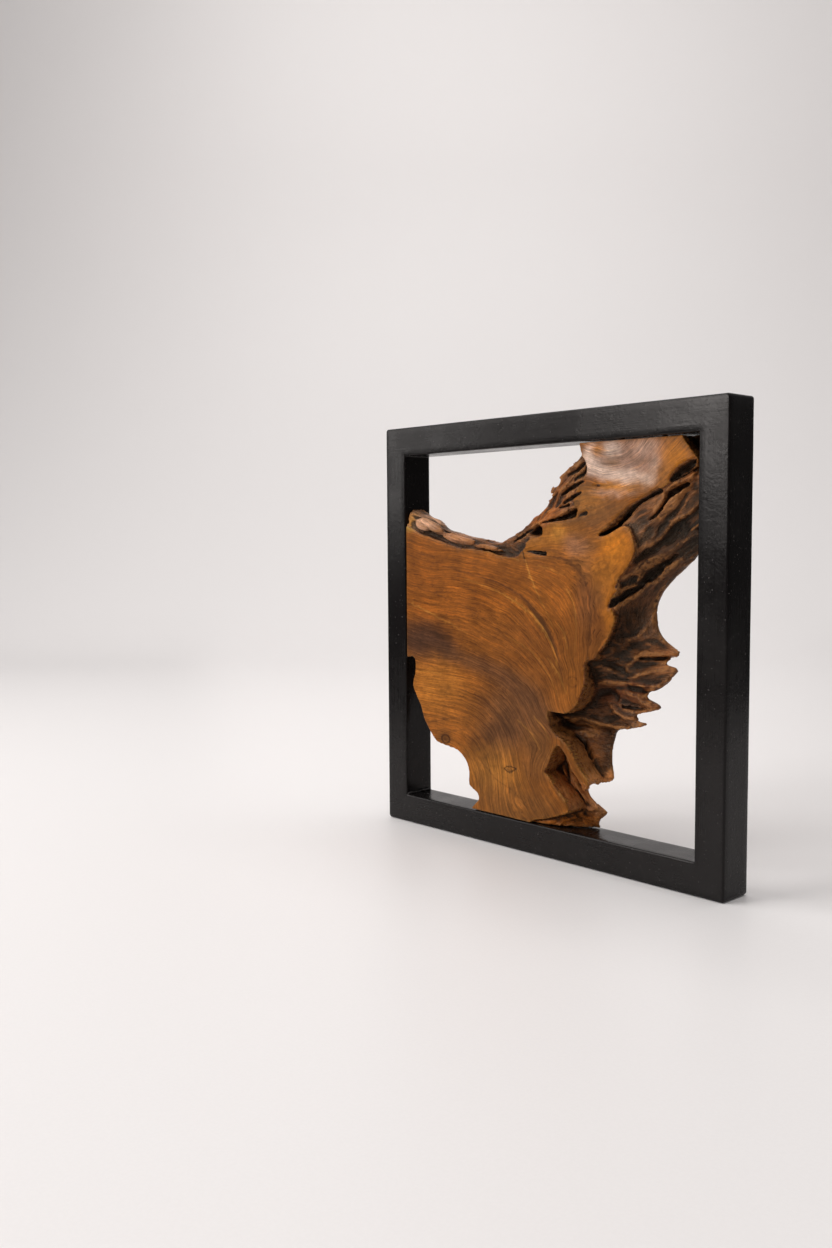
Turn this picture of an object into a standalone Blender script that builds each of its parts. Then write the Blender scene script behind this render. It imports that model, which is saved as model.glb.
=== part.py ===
"""Wall panel: a slice of teak root held in a square, black-painted wooden frame.

Run with: blender --background --python part.py
The frame stands on its bottom rail.  X is to the right, Y is to the back and Z is up.
The origin is under the middle of the bottom rail, and the front face looks along -Y.
All dimensions below are in millimetres; MM turns them into metres.
"""
import math

import bmesh
import bpy
import numpy as np
from mathutils import Matrix, Vector, geometry

MM = 0.001

# Driving dimensions ---------------------------------------------------------
FRAME_SIDE = 400.0          # outer width and height of the frame
BAR_FACE = 28.0             # width of each bar, seen from the front
BAR_DEPTH = 35.0            # depth of each bar, front to back
BAR_EDGE = 1.2              # rounding of the bars' edges
FIT_GAP = 0.3               # gap between pieces that touch

DOWEL_RADIUS = 4.0
DOWEL_IN_RAIL = 18.0        # length of a dowel inside the rail
DOWEL_IN_STILE = 22.0       # length of a dowel inside the stile
DOWEL_OFFSET = 8.0          # each corner has one dowel in front and one behind

SCREW_SHANK_RADIUS = 1.9
SCREW_HEAD_RADIUS = 4.0
SCREW_HEAD_HEIGHT = 2.4
SCREW_TIP = 5.0
SCREW_SLOT = 1.0            # width and depth of the slot in the head
SCREW_BITE = 25.0           # length of a screw inside the root
PLUG_RADIUS = 4.5
PLUG_HEIGHT = 7.0

FACE_Y = -17.2              # sanded front of the root, just inside the frame's front
BACK_Y = 15.0               # sawn back of the root
CAP_GRID = 4.5              # spacing of the natural surface's points on the right
COARSE_GRID = 14.0          # spacing of its points on the left, under the sanded face
EDGE_THICKNESS = 4.0        # the root's splintered edges are this thick
CRUMB = 0.01                # points nearer than this are one point

# Places worked out from them --------------------------------------------------
HALF_SIDE = FRAME_SIDE / 2
HALF_DEPTH = BAR_DEPTH / 2
INNER_HALF = HALF_SIDE - BAR_FACE
OPEN_LOW = BAR_FACE
OPEN_HIGH = FRAME_SIDE - BAR_FACE
SEAT_DEPTH = PLUG_HEIGHT + SCREW_HEAD_HEIGHT + 3 * FIT_GAP
SCREW_LENGTH = BAR_FACE + SCREW_BITE - PLUG_HEIGHT - FIT_GAP

# Where the screws enter the outside of the frame, and which way they point
SCREWS = {
    "left_lower": ((-HALF_SIDE, 0.0, 205.0), (1, 0, 0)),
    "left_upper": ((-HALF_SIDE, 0.0, 265.0), (1, 0, 0)),
    "top_inner": ((85.0, 0.0, FRAME_SIDE), (0, 0, -1)),
    "top_outer": ((128.0, 0.0, FRAME_SIDE), (0, 0, -1)),
    "right_upper": ((HALF_SIDE, 4.0, 333.0), (-1, 0, 0)),
    "right_lower": ((HALF_SIDE, 5.0, 309.0), (-1, 0, 0)),
    "bottom_outer": ((-55.0, 0.0, 0.0), (0, 0, 1)),
    "bottom_inner": ((-15.0, 0.0, 0.0), (0, 0, 1)),
}

# The root's outer edge, clockwise from the left stile, as (x, z)
NATURAL_OUTLINE = [
    # bark strip above the sanded face, down to the notch
    (-195, 313), (-156, 313), (-148, 311), (-141, 309), (-134, 305), (-127, 299), (-120, 297),
    (-107, 295), (-92, 291), (-80, 289), (-66, 287), (-52, 285),
    # broken left edge of the crown
    (-37, 291), (-25, 295), (-15, 302), (-9, 308), (-1, 311), (6, 313), (10, 321), (15, 327),
    (16, 334), (24, 337), (27, 343), (34, 348), (42, 354), (48, 361), (52, 368), (54, 390),
    # top rail and right stile
    (195, 390), (195, 303),
    # hollow flank down to the first splinter
    (166, 283), (152, 272), (138, 261), (126, 250), (118, 241), (114, 234), (112, 226),
    (114, 215), (120, 206), (129, 198), (140, 194),
    # the fan of four splinters
    (135, 189), (125, 183), (134, 182), (139, 179), (134, 172), (122, 162), (107, 154),
    (113, 151), (125, 147), (117, 143), (106, 140), (97, 137), (104, 134), (114, 132),
    (106, 128), (92, 124), (76, 121),
    # hollow under the fan, down to the end of the bridge
    (69, 112), (66, 101), (66, 88), (68, 76), (62, 72), (52, 68), (42, 61),
    # foot
    (44, 56), (50, 51), (61, 44), (55, 38), (51, 32), (50, 10), (-84, 10),
    # hollow side of the foot and the lower left lobe
    (-80, 28), (-70, 38), (-69, 43), (-73, 48), (-81, 52), (-82, 60), (-83, 68), (-88, 77),
    (-96, 83), (-105, 86), (-118, 88), (-127, 90), (-133, 95), (-139, 102), (-145, 112),
    (-149, 122), (-155, 132), (-160, 142), (-158, 152), (-157, 165), (-163, 173), (-195, 176),
]

# The flat, sanded face: its edge, clockwise from the left stile, as (x, z)
FACE_OUTLINE = [
    (-195, 297), (-150, 294), (-130, 289), (-118, 286), (-105, 282), (-93, 280), (-75, 279),
    (-57, 277), (-40, 273), (-20, 272), (-8, 284), (20, 288), (50, 290), (73, 291), (84, 293),
    (96, 299), (104, 298), (108, 290), (111, 278), (107, 269), (99, 259), (93, 254), (93, 244),
    (86, 232), (91, 222), (87, 210), (80, 198), (72, 189), (69, 184), (60, 182), (58, 176),
    (58, 162), (54, 150), (46, 139), (34, 133), (17, 134), (18, 126), (20, 119), (30, 112),
    (40, 105), (47, 95), (54, 85), (62, 77), (62, 72), (52, 76), (44, 84), (38, 95), (33, 101),
    (28, 104), (22, 98), (18, 86), (13, 79), (22, 70), (32, 60), (41, 51), (40, 45), (28, 40),
    (10, 34), (-5, 29), (-9, 10), (-92, 10), (-82, 28), (-72, 38), (-71, 42), (-74, 46), (-83, 51),
    (-84, 58), (-84, 66), (-88, 75), (-97, 82), (-103, 84), (-118, 86), (-128, 88), (-134, 93),
    (-140, 100), (-147, 110), (-151, 121), (-157, 131), (-163, 142), (-160, 152), (-159, 164),
    (-164, 171), (-195, 174),
]

# The polished crown above it, which leans back a little towards the top right corner
CROWN_OUTLINE = [
    (-8, 280), (-2, 291), (14, 301), (32, 309), (46, 315), (44, 324), (50, 334), (58, 345),
    (56, 356), (51, 364), (55, 390), (147, 390), (153, 371), (160, 361), (168, 351), (166, 347),
    (150, 339), (136, 330), (122, 324), (108, 316), (96, 307), (86, 299), (72, 292), (76, 280),
]
CROWN_CORNER = (73, 291)    # here the crown is level with the sanded face
CROWN_LEAN_X = 0.030        # backward slope of the crown, to the right
CROWN_LEAN_Z = 0.036        # backward slope of the crown, upwards

# Depth of the natural surface behind the sanded face, as (x, z, y)
NATURAL_DEPTH = [
    # bark strip
    (-190, 296, -16), (-122, 286, -16), (-81, 279, -16), (-46, 273, -16),
    (-190, 312, -14), (-166, 311, -13), (-157, 310, -8), (-130, 297, -7), (-93, 290, -5),
    (-59, 285, -4),
    # left edge of the crown
    (-27, 290, -10), (-5, 303, -12), (14, 325, -12), (30, 338, -13), (41, 352, -13),
    # flank, close below the crown
    (81, 290, -12), (96, 303, -11), (116, 316, -11), (135, 325, -10), (154, 338, -9),
    # hollow behind the crown's bevelled corner
    (152, 372, 3), (160, 360, 4), (170, 352, 2), (170, 372, 5),
    # flank, close beside the sanded face
    (109, 286, -12), (105, 264, -12), (95, 248, -12), (92, 230, -11), (88, 210, -10),
    (74, 190, -9), (62, 174, -4), (52, 157, 1),
    # middle and lower edge of the flank
    (122, 300, -8), (145, 305, -5), (170, 320, -4), (170, 298, 1), (118, 276, -4),
    (135, 272, 6), (106, 252, -2), (118, 246, 8), (97, 228, 0), (107, 224, 9), (92, 207, 0),
    (106, 204, 4), (125, 194, 7),
    # splinters
    (135, 193, 7), (135, 180, 4), (115, 172, 3), (118, 163, 6), (95, 165, 2), (86, 178, 0),
    (72, 172, -1), (94, 147, 4), (120, 147, 2), (108, 132, -1), (85, 127, 3),
    # hollow under the fan
    (56, 146, 7), (72, 146, 6), (43, 136, 4), (73, 134, 6), (25, 126, 5), (40, 122, 9),
    (58, 116, 11), (30, 106, 8), (52, 98, 11), (39, 88, 8), (61, 82, 12), (49, 75, 0),
    # pocket beside the bridge, and the foot
    (20, 96, 6), (18, 84, 7), (16, 74, 5), (17, 63, 1), (28, 64, 6), (34, 56, 8), (24, 52, 1),
    (40, 48, 7), (54, 44, 10), (24, 40, -6), (38, 35, 3), (47, 33, 10), (8, 30, -10),
]


# Mesh helpers -------------------------------------------------------------------
def clear_scene():
    for obj in list(bpy.data.objects):
        bpy.data.objects.remove(obj, do_unlink=True)


def make_material(name, colour, roughness, metallic=0.0):
    material = bpy.data.materials.new(name)
    material.use_nodes = True
    shader = material.node_tree.nodes["Principled BSDF"]
    shader.inputs["Base Color"].default_value = (*colour, 1.0)
    shader.inputs["Roughness"].default_value = roughness
    shader.inputs["Metallic"].default_value = metallic
    return material


def make_object(name, bm, material=None):
    bmesh.ops.recalc_face_normals(bm, faces=bm.faces)
    mesh = bpy.data.meshes.new(name)
    bm.to_mesh(mesh)
    bm.free()
    if material is not None:
        mesh.materials.append(material)
    obj = bpy.data.objects.new(name, mesh)
    bpy.context.collection.objects.link(obj)
    return obj


def apply_modifiers(obj):
    """Replace the object's mesh by its evaluated one, and drop its modifiers."""
    bpy.context.view_layer.update()
    depsgraph = bpy.context.evaluated_depsgraph_get()
    mesh = bpy.data.meshes.new_from_object(obj.evaluated_get(depsgraph), depsgraph=depsgraph)
    obj.modifiers.clear()
    obj.data = mesh


def merge_crumbs(obj):
    """Merge the crumbs that a cut leaves, and leave plain triangles."""
    bm = bmesh.new()
    bm.from_mesh(obj.data)
    bmesh.ops.remove_doubles(bm, verts=bm.verts, dist=CRUMB * MM)
    bmesh.ops.dissolve_degenerate(bm, edges=bm.edges, dist=CRUMB * MM)
    bmesh.ops.triangulate(bm, faces=bm.faces)
    bm.to_mesh(obj.data)
    bm.free()


def combine(obj, others, operation):
    """Apply one exact Boolean for each of the others, and remove them."""
    for other in others:
        modifier = obj.modifiers.new(operation.title(), "BOOLEAN")
        modifier.operation = operation
        modifier.solver = "EXACT"
        modifier.object = other
        apply_modifiers(obj)
        merge_crumbs(obj)
        bpy.data.objects.remove(other, do_unlink=True)


def box(name, low, high, material=None):
    bm = bmesh.new()
    bmesh.ops.create_cube(bm, size=1.0)
    low = Vector(low) * MM
    high = Vector(high) * MM
    bmesh.ops.scale(bm, vec=high - low, verts=bm.verts)
    bmesh.ops.translate(bm, vec=(low + high) / 2, verts=bm.verts)
    return make_object(name, bm, material)


def turned(name, profile, start, direction, sides, material=None):
    """A solid turned about a line: profile holds (distance along the line, radius)."""
    bm = bmesh.new()
    rings = []
    for along, radius in profile:
        ring = []
        for step in range(sides):
            angle = 2 * math.pi * (step + 0.5) / sides
            ring.append(bm.verts.new((radius * math.cos(angle), radius * math.sin(angle), along)))
        rings.append(ring)
    for ring, following in zip(rings, rings[1:]):
        for step in range(sides):
            after = (step + 1) % sides
            bm.faces.new((ring[step], ring[after], following[after], following[step]))
    bm.faces.new(list(reversed(rings[0])))
    bm.faces.new(rings[-1])
    turn = Vector((0, 0, 1)).rotation_difference(Vector(direction)).to_matrix().to_4x4()
    place = Matrix.Translation(Vector(start) * MM) @ turn @ Matrix.Scale(MM, 4)
    bmesh.ops.transform(bm, matrix=place, verts=bm.verts)
    return make_object(name, bm, material)


def smooth_outline(points, steps):
    """Points on a closed curve through the given ones, with steps points to each span."""
    curve = []
    count = len(points)
    for index in range(count):
        before, start, end, after = (
            np.array(points[(index + offset) % count], dtype=float) for offset in (-1, 0, 1, 2)
        )
        for step in range(steps):
            t = step / steps
            bend = 2 * before - 5 * start + 4 * end - after
            twist = 3 * (start - end) + after - before
            curve.append(tuple(start + 0.5 * t * ((end - before) + t * (bend + t * twist))))
    return curve


def prism(name, outline, front_depth, back, material=None):
    """A slab with the given (x, z) outline; front_depth gives its front's y at (x, z)."""
    bm = bmesh.new()
    front = [bm.verts.new((x * MM, front_depth(x, z) * MM, z * MM)) for x, z in outline]
    rear = [bm.verts.new((x * MM, back * MM, z * MM)) for x, z in outline]
    bm.faces.new(front)
    bm.faces.new(list(reversed(rear)))
    for index in range(len(outline)):
        after = (index + 1) % len(outline)
        bm.faces.new((front[index], rear[index], rear[after], front[after]))
    return make_object(name, bm, material)


# The natural body of the root ------------------------------------------------------
def thin_plate(points):
    """The smooth surface y(x, z) through the given (x, z, y) points."""
    known = np.array(points, dtype=float)
    count = len(known)

    def kernel(distance):
        return distance ** 2 * np.log(distance + 1e-9)

    system = np.zeros((count + 3, count + 3))
    gaps = np.hypot(known[:, None, 0] - known[None, :, 0], known[:, None, 1] - known[None, :, 1])
    system[:count, :count] = kernel(gaps)
    system[:count, count] = 1
    system[:count, count + 1:] = known[:, :2]
    system[count:, :count] = system[:count, count:].T
    weights = np.linalg.solve(system, np.append(known[:, 2], (0, 0, 0)))

    def depth(x, z):
        distance = np.hypot(known[:, 0] - x, known[:, 1] - z)
        tail = weights[count] + weights[count + 1] * x + weights[count + 2] * z
        return float(kernel(distance) @ weights[:count] + tail)

    return depth


def distance_to_outline(x, z, outline):
    """Distance from (x, z) to the closed outline."""
    start = np.array(outline)
    along = np.roll(start, -1, axis=0) - start
    offset = np.array((x, z)) - start
    reach = np.clip((offset * along).sum(axis=1) / (along ** 2).sum(axis=1), 0, 1)
    return float(np.hypot(*(offset - reach[:, None] * along).T).min())


def is_inside(x, z, outline):
    """Whether (x, z) lies inside the closed outline."""
    inside = False
    for (x0, z0), (x1, z1) in zip(outline, outline[1:] + outline[:1]):
        if (z0 > z) != (z1 > z) and x < x0 + (z - z0) * (x1 - x0) / (z1 - z0):
            inside = not inside
    return inside


def cap_points(outline):
    """Grid points inside the outline: close on the natural side, coarse under the face."""
    points = []
    for spacing, low_x, high_x in ((COARSE_GRID, -190.0, 0.0), (CAP_GRID, 4.5, 190.0)):
        for x in np.arange(low_x, high_x, spacing):
            for z in np.arange(OPEN_LOW - 12, OPEN_HIGH + 12, spacing):
                clear = distance_to_outline(x, z, outline) > 0.6 * CAP_GRID
                if clear and is_inside(x, z, outline):
                    points.append((float(x), float(z)))
    return points


def natural_body(name):
    """The unsanded root: a smooth uneven front, splintered edges and a rounded back."""
    depth = thin_plate(NATURAL_DEPTH)
    outline = smooth_outline(NATURAL_OUTLINE, 2)
    flat = [Vector(point) for point in outline + cap_points(outline)]
    rim = list(range(len(outline)))
    rim_edges = [(index, (index + 1) % len(rim)) for index in rim]
    verts, _, faces, *_ = geometry.delaunay_2d_cdt(flat, rim_edges, [rim], 1, 1e-4)

    bm = bmesh.new()
    fronts = []
    rears = []
    for vert in verts:
        x, z = vert
        front = min(max(depth(x, z), FACE_Y + 1.5), BACK_Y - 3.0)
        swell = EDGE_THICKNESS + 0.9 * distance_to_outline(x, z, outline)
        rear = min(front + swell + 2 * max(0.0, -4.0 - front), BACK_Y + 3.0)
        fronts.append(bm.verts.new((x * MM, front * MM, z * MM)))
        rears.append(bm.verts.new((x * MM, rear * MM, z * MM)))
    for face in faces:
        bm.faces.new([fronts[index] for index in face])
        bm.faces.new([rears[index] for index in reversed(face)])
    partner = dict(zip(fronts, rears))
    for edge in [edge for edge in bm.edges if edge.is_boundary and edge.verts[0] in partner]:
        one, other = edge.verts
        bm.faces.new((one, other, partner[other], partner[one]))
    return make_object(name, bm)


def crown_depth(x, z):
    lean = CROWN_LEAN_X * (x - CROWN_CORNER[0]) + CROWN_LEAN_Z * (z - CROWN_CORNER[1])
    return FACE_Y + lean


def make_root(material):
    root = natural_body("teak_root")
    root.data.materials.append(material)
    face = prism("face_block", smooth_outline(FACE_OUTLINE, 2), lambda x, z: FACE_Y - 5, 6.0)
    crown = prism("crown_block", smooth_outline(CROWN_OUTLINE, 2), crown_depth, 5.0)
    combine(root, [face, crown], "UNION")
    edge = INNER_HALF - FIT_GAP
    low = (-edge, FACE_Y, OPEN_LOW + FIT_GAP)
    high = (edge, BACK_Y, OPEN_HIGH - FIT_GAP)
    combine(root, [box("saw_block", low, high)], "INTERSECT")
    combine(root, [screw_hole(start, direction) for start, direction in SCREWS.values()],
            "DIFFERENCE")
    dissolve_flats(root)
    return root


def dissolve_flats(obj):
    """Dissolve the edges inside flat faces."""
    bm = bmesh.new()
    bm.from_mesh(obj.data)
    bmesh.ops.dissolve_limit(bm, angle_limit=math.radians(0.5), verts=bm.verts, edges=bm.edges)
    bmesh.ops.triangulate(bm, faces=bm.faces)
    bm.to_mesh(obj.data)
    bm.free()


# Frame, dowels, screws and plugs -----------------------------------------------------
def screw_hole(start, direction):
    """The stepped hole for a plug, a screw's head and its shank."""
    end = BAR_FACE + SCREW_BITE + 1.0
    profile = [
        (-1.0, PLUG_RADIUS + FIT_GAP), (SEAT_DEPTH, PLUG_RADIUS + FIT_GAP),
        (SEAT_DEPTH, SCREW_SHANK_RADIUS + FIT_GAP), (end, SCREW_SHANK_RADIUS + FIT_GAP),
    ]
    return turned("screw_hole", profile, start, direction, 16)


def make_screw(name, start, direction, material):
    """A slotted pan-head screw, sunk under its plug."""
    head = PLUG_HEIGHT + 2 * FIT_GAP
    seat = head + SCREW_HEAD_HEIGHT
    tip = PLUG_HEIGHT + SCREW_LENGTH
    profile = [
        (head, SCREW_HEAD_RADIUS - 0.6), (head + 0.6, SCREW_HEAD_RADIUS),
        (seat, SCREW_HEAD_RADIUS), (seat, SCREW_SHANK_RADIUS),
        (tip - SCREW_TIP, SCREW_SHANK_RADIUS), (tip, 0.3),
    ]
    screw = turned(name, profile, start, direction, 16, material)
    axis = Vector(direction)
    middle = Vector(start) + axis * head
    reach = Vector([SCREW_SLOT / 2] * 3) + Vector([abs(value) for value in axis]) * SCREW_SLOT / 2
    reach.y = SCREW_HEAD_RADIUS + 1
    combine(screw, [box("slot", middle - reach, middle + reach)], "DIFFERENCE")
    return screw


def dowel_places():
    """Name, foot and upward direction of each dowel; two to a corner."""
    places = []
    for side, x in (("left", BAR_FACE / 2 - HALF_SIDE), ("right", HALF_SIDE - BAR_FACE / 2)):
        for level, joint, up in (("bottom", OPEN_LOW, 1), ("top", OPEN_HIGH, -1)):
            for row, y in (("front", -DOWEL_OFFSET), ("rear", DOWEL_OFFSET)):
                places.append((f"dowel_{level}_{side}_{row}", (x, y, joint), (0, 0, up)))
    return places


def make_bars(material):
    """Two rails across the whole width, and two stiles between them."""
    bars = {
        "bottom_rail": ((-HALF_SIDE, 0.0), (HALF_SIDE, OPEN_LOW)),
        "top_rail": ((-HALF_SIDE, OPEN_HIGH), (HALF_SIDE, FRAME_SIDE)),
        "left_stile": ((-HALF_SIDE, OPEN_LOW + FIT_GAP), (-INNER_HALF, OPEN_HIGH - FIT_GAP)),
        "right_stile": ((INNER_HALF, OPEN_LOW + FIT_GAP), (HALF_SIDE, OPEN_HIGH - FIT_GAP)),
    }
    for name, ((x0, z0), (x1, z1)) in bars.items():
        bar = box(name, (x0, -HALF_DEPTH, z0), (x1, HALF_DEPTH, z1), material)
        bevel = bar.modifiers.new("Rounded edges", "BEVEL")
        bevel.width = BAR_EDGE * MM
        bevel.segments = 2
        apply_modifiers(bar)
        cutters = []
        for _, (x, y, joint), (_, _, up) in dowel_places():
            if x0 < x < x1 and min(abs(joint - z0), abs(joint - z1)) < 1:
                start = (x, y, joint - up * (DOWEL_IN_RAIL + FIT_GAP))
                length = DOWEL_IN_RAIL + DOWEL_IN_STILE + 2 * FIT_GAP
                profile = [(0, DOWEL_RADIUS + FIT_GAP), (length, DOWEL_RADIUS + FIT_GAP)]
                cutters.append(turned("dowel_hole", profile, start, (0, 0, up), 16))
        for start, direction in SCREWS.values():
            if x0 <= start[0] <= x1 and z0 <= start[2] <= z1:
                cutters.append(screw_hole(start, direction))
        combine(bar, cutters, "DIFFERENCE")


def make_dowels(material):
    for name, (x, y, joint), (_, _, up) in dowel_places():
        start = (x, y, joint - up * DOWEL_IN_RAIL)
        length = DOWEL_IN_RAIL + DOWEL_IN_STILE
        chamfer = 1.0
        profile = [
            (0, DOWEL_RADIUS - chamfer), (chamfer, DOWEL_RADIUS),
            (length - chamfer, DOWEL_RADIUS), (length, DOWEL_RADIUS - chamfer),
        ]
        turned(name, profile, start, (0, 0, up), 16, material)


def main():
    clear_scene()
    paint = make_material("black_paint", (0.022, 0.021, 0.022), 0.42)
    teak = make_material("teak", (0.36, 0.17, 0.065), 0.45)
    beech = make_material("dowel_wood", (0.62, 0.45, 0.28), 0.7)
    steel = make_material("screw_steel", (0.55, 0.52, 0.45), 0.35, 1.0)
    filler = make_material("painted_filler", (0.026, 0.025, 0.026), 0.5)

    make_bars(paint)
    make_dowels(beech)
    make_root(teak)
    for name, (start, direction) in SCREWS.items():
        make_screw(f"screw_{name}", start, direction, steel)
        turned(f"plug_{name}", [(0.1, PLUG_RADIUS), (PLUG_HEIGHT, PLUG_RADIUS)], start, direction,
               16, filler)

    for obj in bpy.data.objects:
        obj.data.shade_smooth()
        obj.data.set_sharp_from_angle(angle=math.radians(30))


main()
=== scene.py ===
"""Looks of the wall panel: a slice of teak root held in a square, black-painted frame.

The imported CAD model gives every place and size. The carved root and the four painted bars stand
for their CAD solids, and a bead of glue is added; the screws and dowels inside the wood keep
their CAD shapes. The front looks along -Y, X is to the right and Z is up. Lengths are in
millimetres until finish_millimetres, apart from the camera, the lights and the sweep of paper.
"""
import math

import bmesh
import bpy
import numpy as np
import openvdb as vdb
from mathutils import Matrix, Vector


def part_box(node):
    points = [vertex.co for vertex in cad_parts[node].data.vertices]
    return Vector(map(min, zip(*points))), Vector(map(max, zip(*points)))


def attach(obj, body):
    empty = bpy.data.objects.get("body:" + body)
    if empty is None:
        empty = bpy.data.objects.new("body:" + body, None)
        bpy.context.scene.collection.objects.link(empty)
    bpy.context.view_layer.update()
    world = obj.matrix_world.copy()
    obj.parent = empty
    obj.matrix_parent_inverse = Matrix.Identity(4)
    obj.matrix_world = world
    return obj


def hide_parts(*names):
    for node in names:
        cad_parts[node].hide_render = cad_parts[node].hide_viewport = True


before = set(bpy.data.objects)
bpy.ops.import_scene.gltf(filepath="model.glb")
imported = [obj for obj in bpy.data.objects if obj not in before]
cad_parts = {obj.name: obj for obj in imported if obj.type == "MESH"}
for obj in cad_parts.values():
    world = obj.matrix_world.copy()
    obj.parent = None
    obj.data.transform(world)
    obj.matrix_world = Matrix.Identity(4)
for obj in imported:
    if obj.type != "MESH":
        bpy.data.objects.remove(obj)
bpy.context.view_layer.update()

MM = 0.001

# ---- The root's flat surfaces, in millimetres, where the CAD has them ----
FACE_Y = -17.2              # sanded front
BACK_Y = 15.0               # sawn back
CROWN_CORNER = (73.0, 291.0)
CROWN_LEAN = (0.030, 0.036)     # backward slope of the crown, to the right and upwards
CROWN_LOW, CROWN_LEFT = 282.0, -12.0    # the crown lies above and to the right of these
FACE_TOLERANCE, CROWN_TOLERANCE = 0.3, 0.4      # a front this near a flat surface is sanded

# ---- The root's surface grid ----
VOXEL = 1.0
BAND = 5.0                  # cells of known distance on each side of the surface
DETAIL_BAND = 3.2           # natural relief is worked out within this distance
SMOOTHING = 1.1             # blur of the natural surface
ROUNDNESS_BLUR = 2.4        # a point's distance in the volume blurred so far tells crest from hollow
ADAPTIVITY = 0.05           # how far flat stretches share larger faces
LONGEST_EDGE = 3.6
LINE_EDGE = 1.2             # longest edge beside a drawn line of the sanded face
FURROW_SHOULDER = 1.55      # a furrow's sloping sides reach this many half widths out
SMALLEST_ISLAND = 400       # loose bits with fewer points than this are dropped
SANDING = 0.34              # the sanded face lies this deep on average, so that its waves fit
CRACK_DEPTH = 0.7


# ---- Sizes from the CAD, in millimetres ----
def box_mm(name):
    low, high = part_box(name)
    return np.array(low) / MM, np.array(high) / MM


top_low, top_high = box_mm("top_rail")
stile_top = box_mm("left_stile")[1][2]
root_low, root_high = box_mm("teak_root")
HALF_SIDE = (top_high[0] - top_low[0]) / 2
HALF_DEPTH = (top_high[1] - top_low[1]) / 2
BAR_WIDTH = top_high[2] - top_low[2]
JOINT_GAP = top_low[2] - stile_top
ROOT_SPAN_X = (root_low[0], root_high[0])
ROOT_SPAN_Z = (root_low[2], root_high[2])


# ---- Numbers: ramps, noise, blur and curves ----
def ramp(value, low, high):
    """0 below low, 1 above high, and a smooth step between."""
    t = np.clip((value - low) / (high - low), 0.0, 1.0)
    return t * t * (3.0 - 2.0 * t)


def gradient_noise(x, y, z, seed):
    """Smooth noise between about -1 and 1, with one bump per unit."""
    random = np.random.default_rng(seed)
    order = np.tile(random.permutation(256).astype(np.int32), 3)
    slopes = random.normal(size=(256, 3)).astype(np.float32)
    slopes /= np.linalg.norm(slopes, axis=1)[:, None]
    cell = [np.floor(c).astype(np.int32) for c in (x, y, z)]
    part = [(c - f).astype(np.float32) for c, f in zip((x, y, z), cell)]
    cell = [c & 255 for c in cell]
    fade = [p * p * p * (p * (p * 6 - 15) + 10) for p in part]
    total = np.zeros(np.shape(x), np.float32)
    for i in (0, 1):
        first = order[cell[0] + i]
        weight_x = fade[0] if i else 1 - fade[0]
        for j in (0, 1):
            second = order[first + cell[1] + j]
            weight_xy = weight_x * (fade[1] if j else 1 - fade[1])
            for k in (0, 1):
                slope = slopes[order[second + cell[2] + k]]
                bump = slope[..., 0] * (part[0] - i) + slope[..., 1] * (part[1] - j)
                bump += slope[..., 2] * (part[2] - k)
                total += bump * weight_xy * (fade[2] if k else 1 - fade[2])
    return total * 1.6


def flat_noise(x, z, size, seed):
    """Smooth noise over the front view, with bumps of about the given size."""
    return gradient_noise(x / size, z / size, x * 0, seed)


def ridged(noise, sharpness):
    """Turns noise into narrow crests (towards 1) with wide hollows between them."""
    return 1.0 - np.minimum(np.abs(noise) * sharpness, 1.0)


def blur(volume, sigma):
    """Gaussian blur along every axis; sigma is in cells."""
    reach = int(math.ceil(2.5 * sigma))
    weights = np.exp(-0.5 * (np.arange(-reach, reach + 1) / sigma) ** 2)
    weights = (weights / weights.sum()).astype(np.float32)
    for axis in range(volume.ndim):
        padding = [(0, 0)] * volume.ndim
        padding[axis] = (reach, reach)
        padded = np.pad(volume, padding, mode="edge")
        length = volume.shape[axis]
        result = np.zeros_like(volume)
        for step, weight in enumerate(weights):
            window = [slice(None)] * volume.ndim
            window[axis] = slice(step, step + length)
            result += weight * padded[tuple(window)]
        volume = result
    return volume


class ThinPlate:
    """A smooth height over (x, z) that passes close to the given heights."""

    def __init__(self, lines, softness=2.0):
        places = [(x, z, value) for value, points in lines for x, z in points]
        self.centres = np.array(places)[:, :2] / 100.0
        values = np.array(places)[:, 2]
        count = len(values)
        system = np.zeros((count + 3, count + 3))
        system[:count, :count] = self.kernel(self.centres, self.centres)
        system[:count, :count] += np.eye(count) * softness * 0.001
        system[:count, count] = 1.0
        system[:count, count + 1:] = self.centres
        system[count:, :count] = system[:count, count:].T
        self.weights = np.linalg.solve(system, np.append(values, (0.0, 0.0, 0.0)))

    @staticmethod
    def kernel(a, b):
        squared = ((a[:, None, :] - b[None, :, :]) ** 2).sum(axis=2)
        return 0.5 * squared * np.log(squared + 1e-9)

    def __call__(self, x, z):
        places = np.column_stack((np.ravel(x), np.ravel(z))) / 100.0
        heights = np.empty(len(places))
        block = 20000
        for start in range(0, len(places), block):
            some = places[start:start + block]
            heights[start:start + block] = (
                self.kernel(some, self.centres) @ self.weights[:-3]
                + self.weights[-3]
                + some @ self.weights[-2:]
            )
        return heights.reshape(np.shape(x)).astype(np.float32)


def smooth_curve(points, steps=6):
    """Points on a Catmull-Rom curve through the given points, whatever they hold."""
    p = np.array(points, float)
    if len(p) < 3:
        return p
    p = np.vstack((2 * p[0] - p[1], p, 2 * p[-1] - p[-2]))
    curve = []
    for a, b, c, d in zip(p, p[1:], p[2:], p[3:]):
        for t in np.arange(steps) / steps:
            curve.append(
                0.5 * (2 * b + (c - a) * t + (2 * a - 5 * b + 4 * c - d) * t ** 2
                       + (3 * b - a - 3 * c + d) * t ** 3)
            )
    curve.append(p[-2])
    return np.array(curve)


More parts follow.
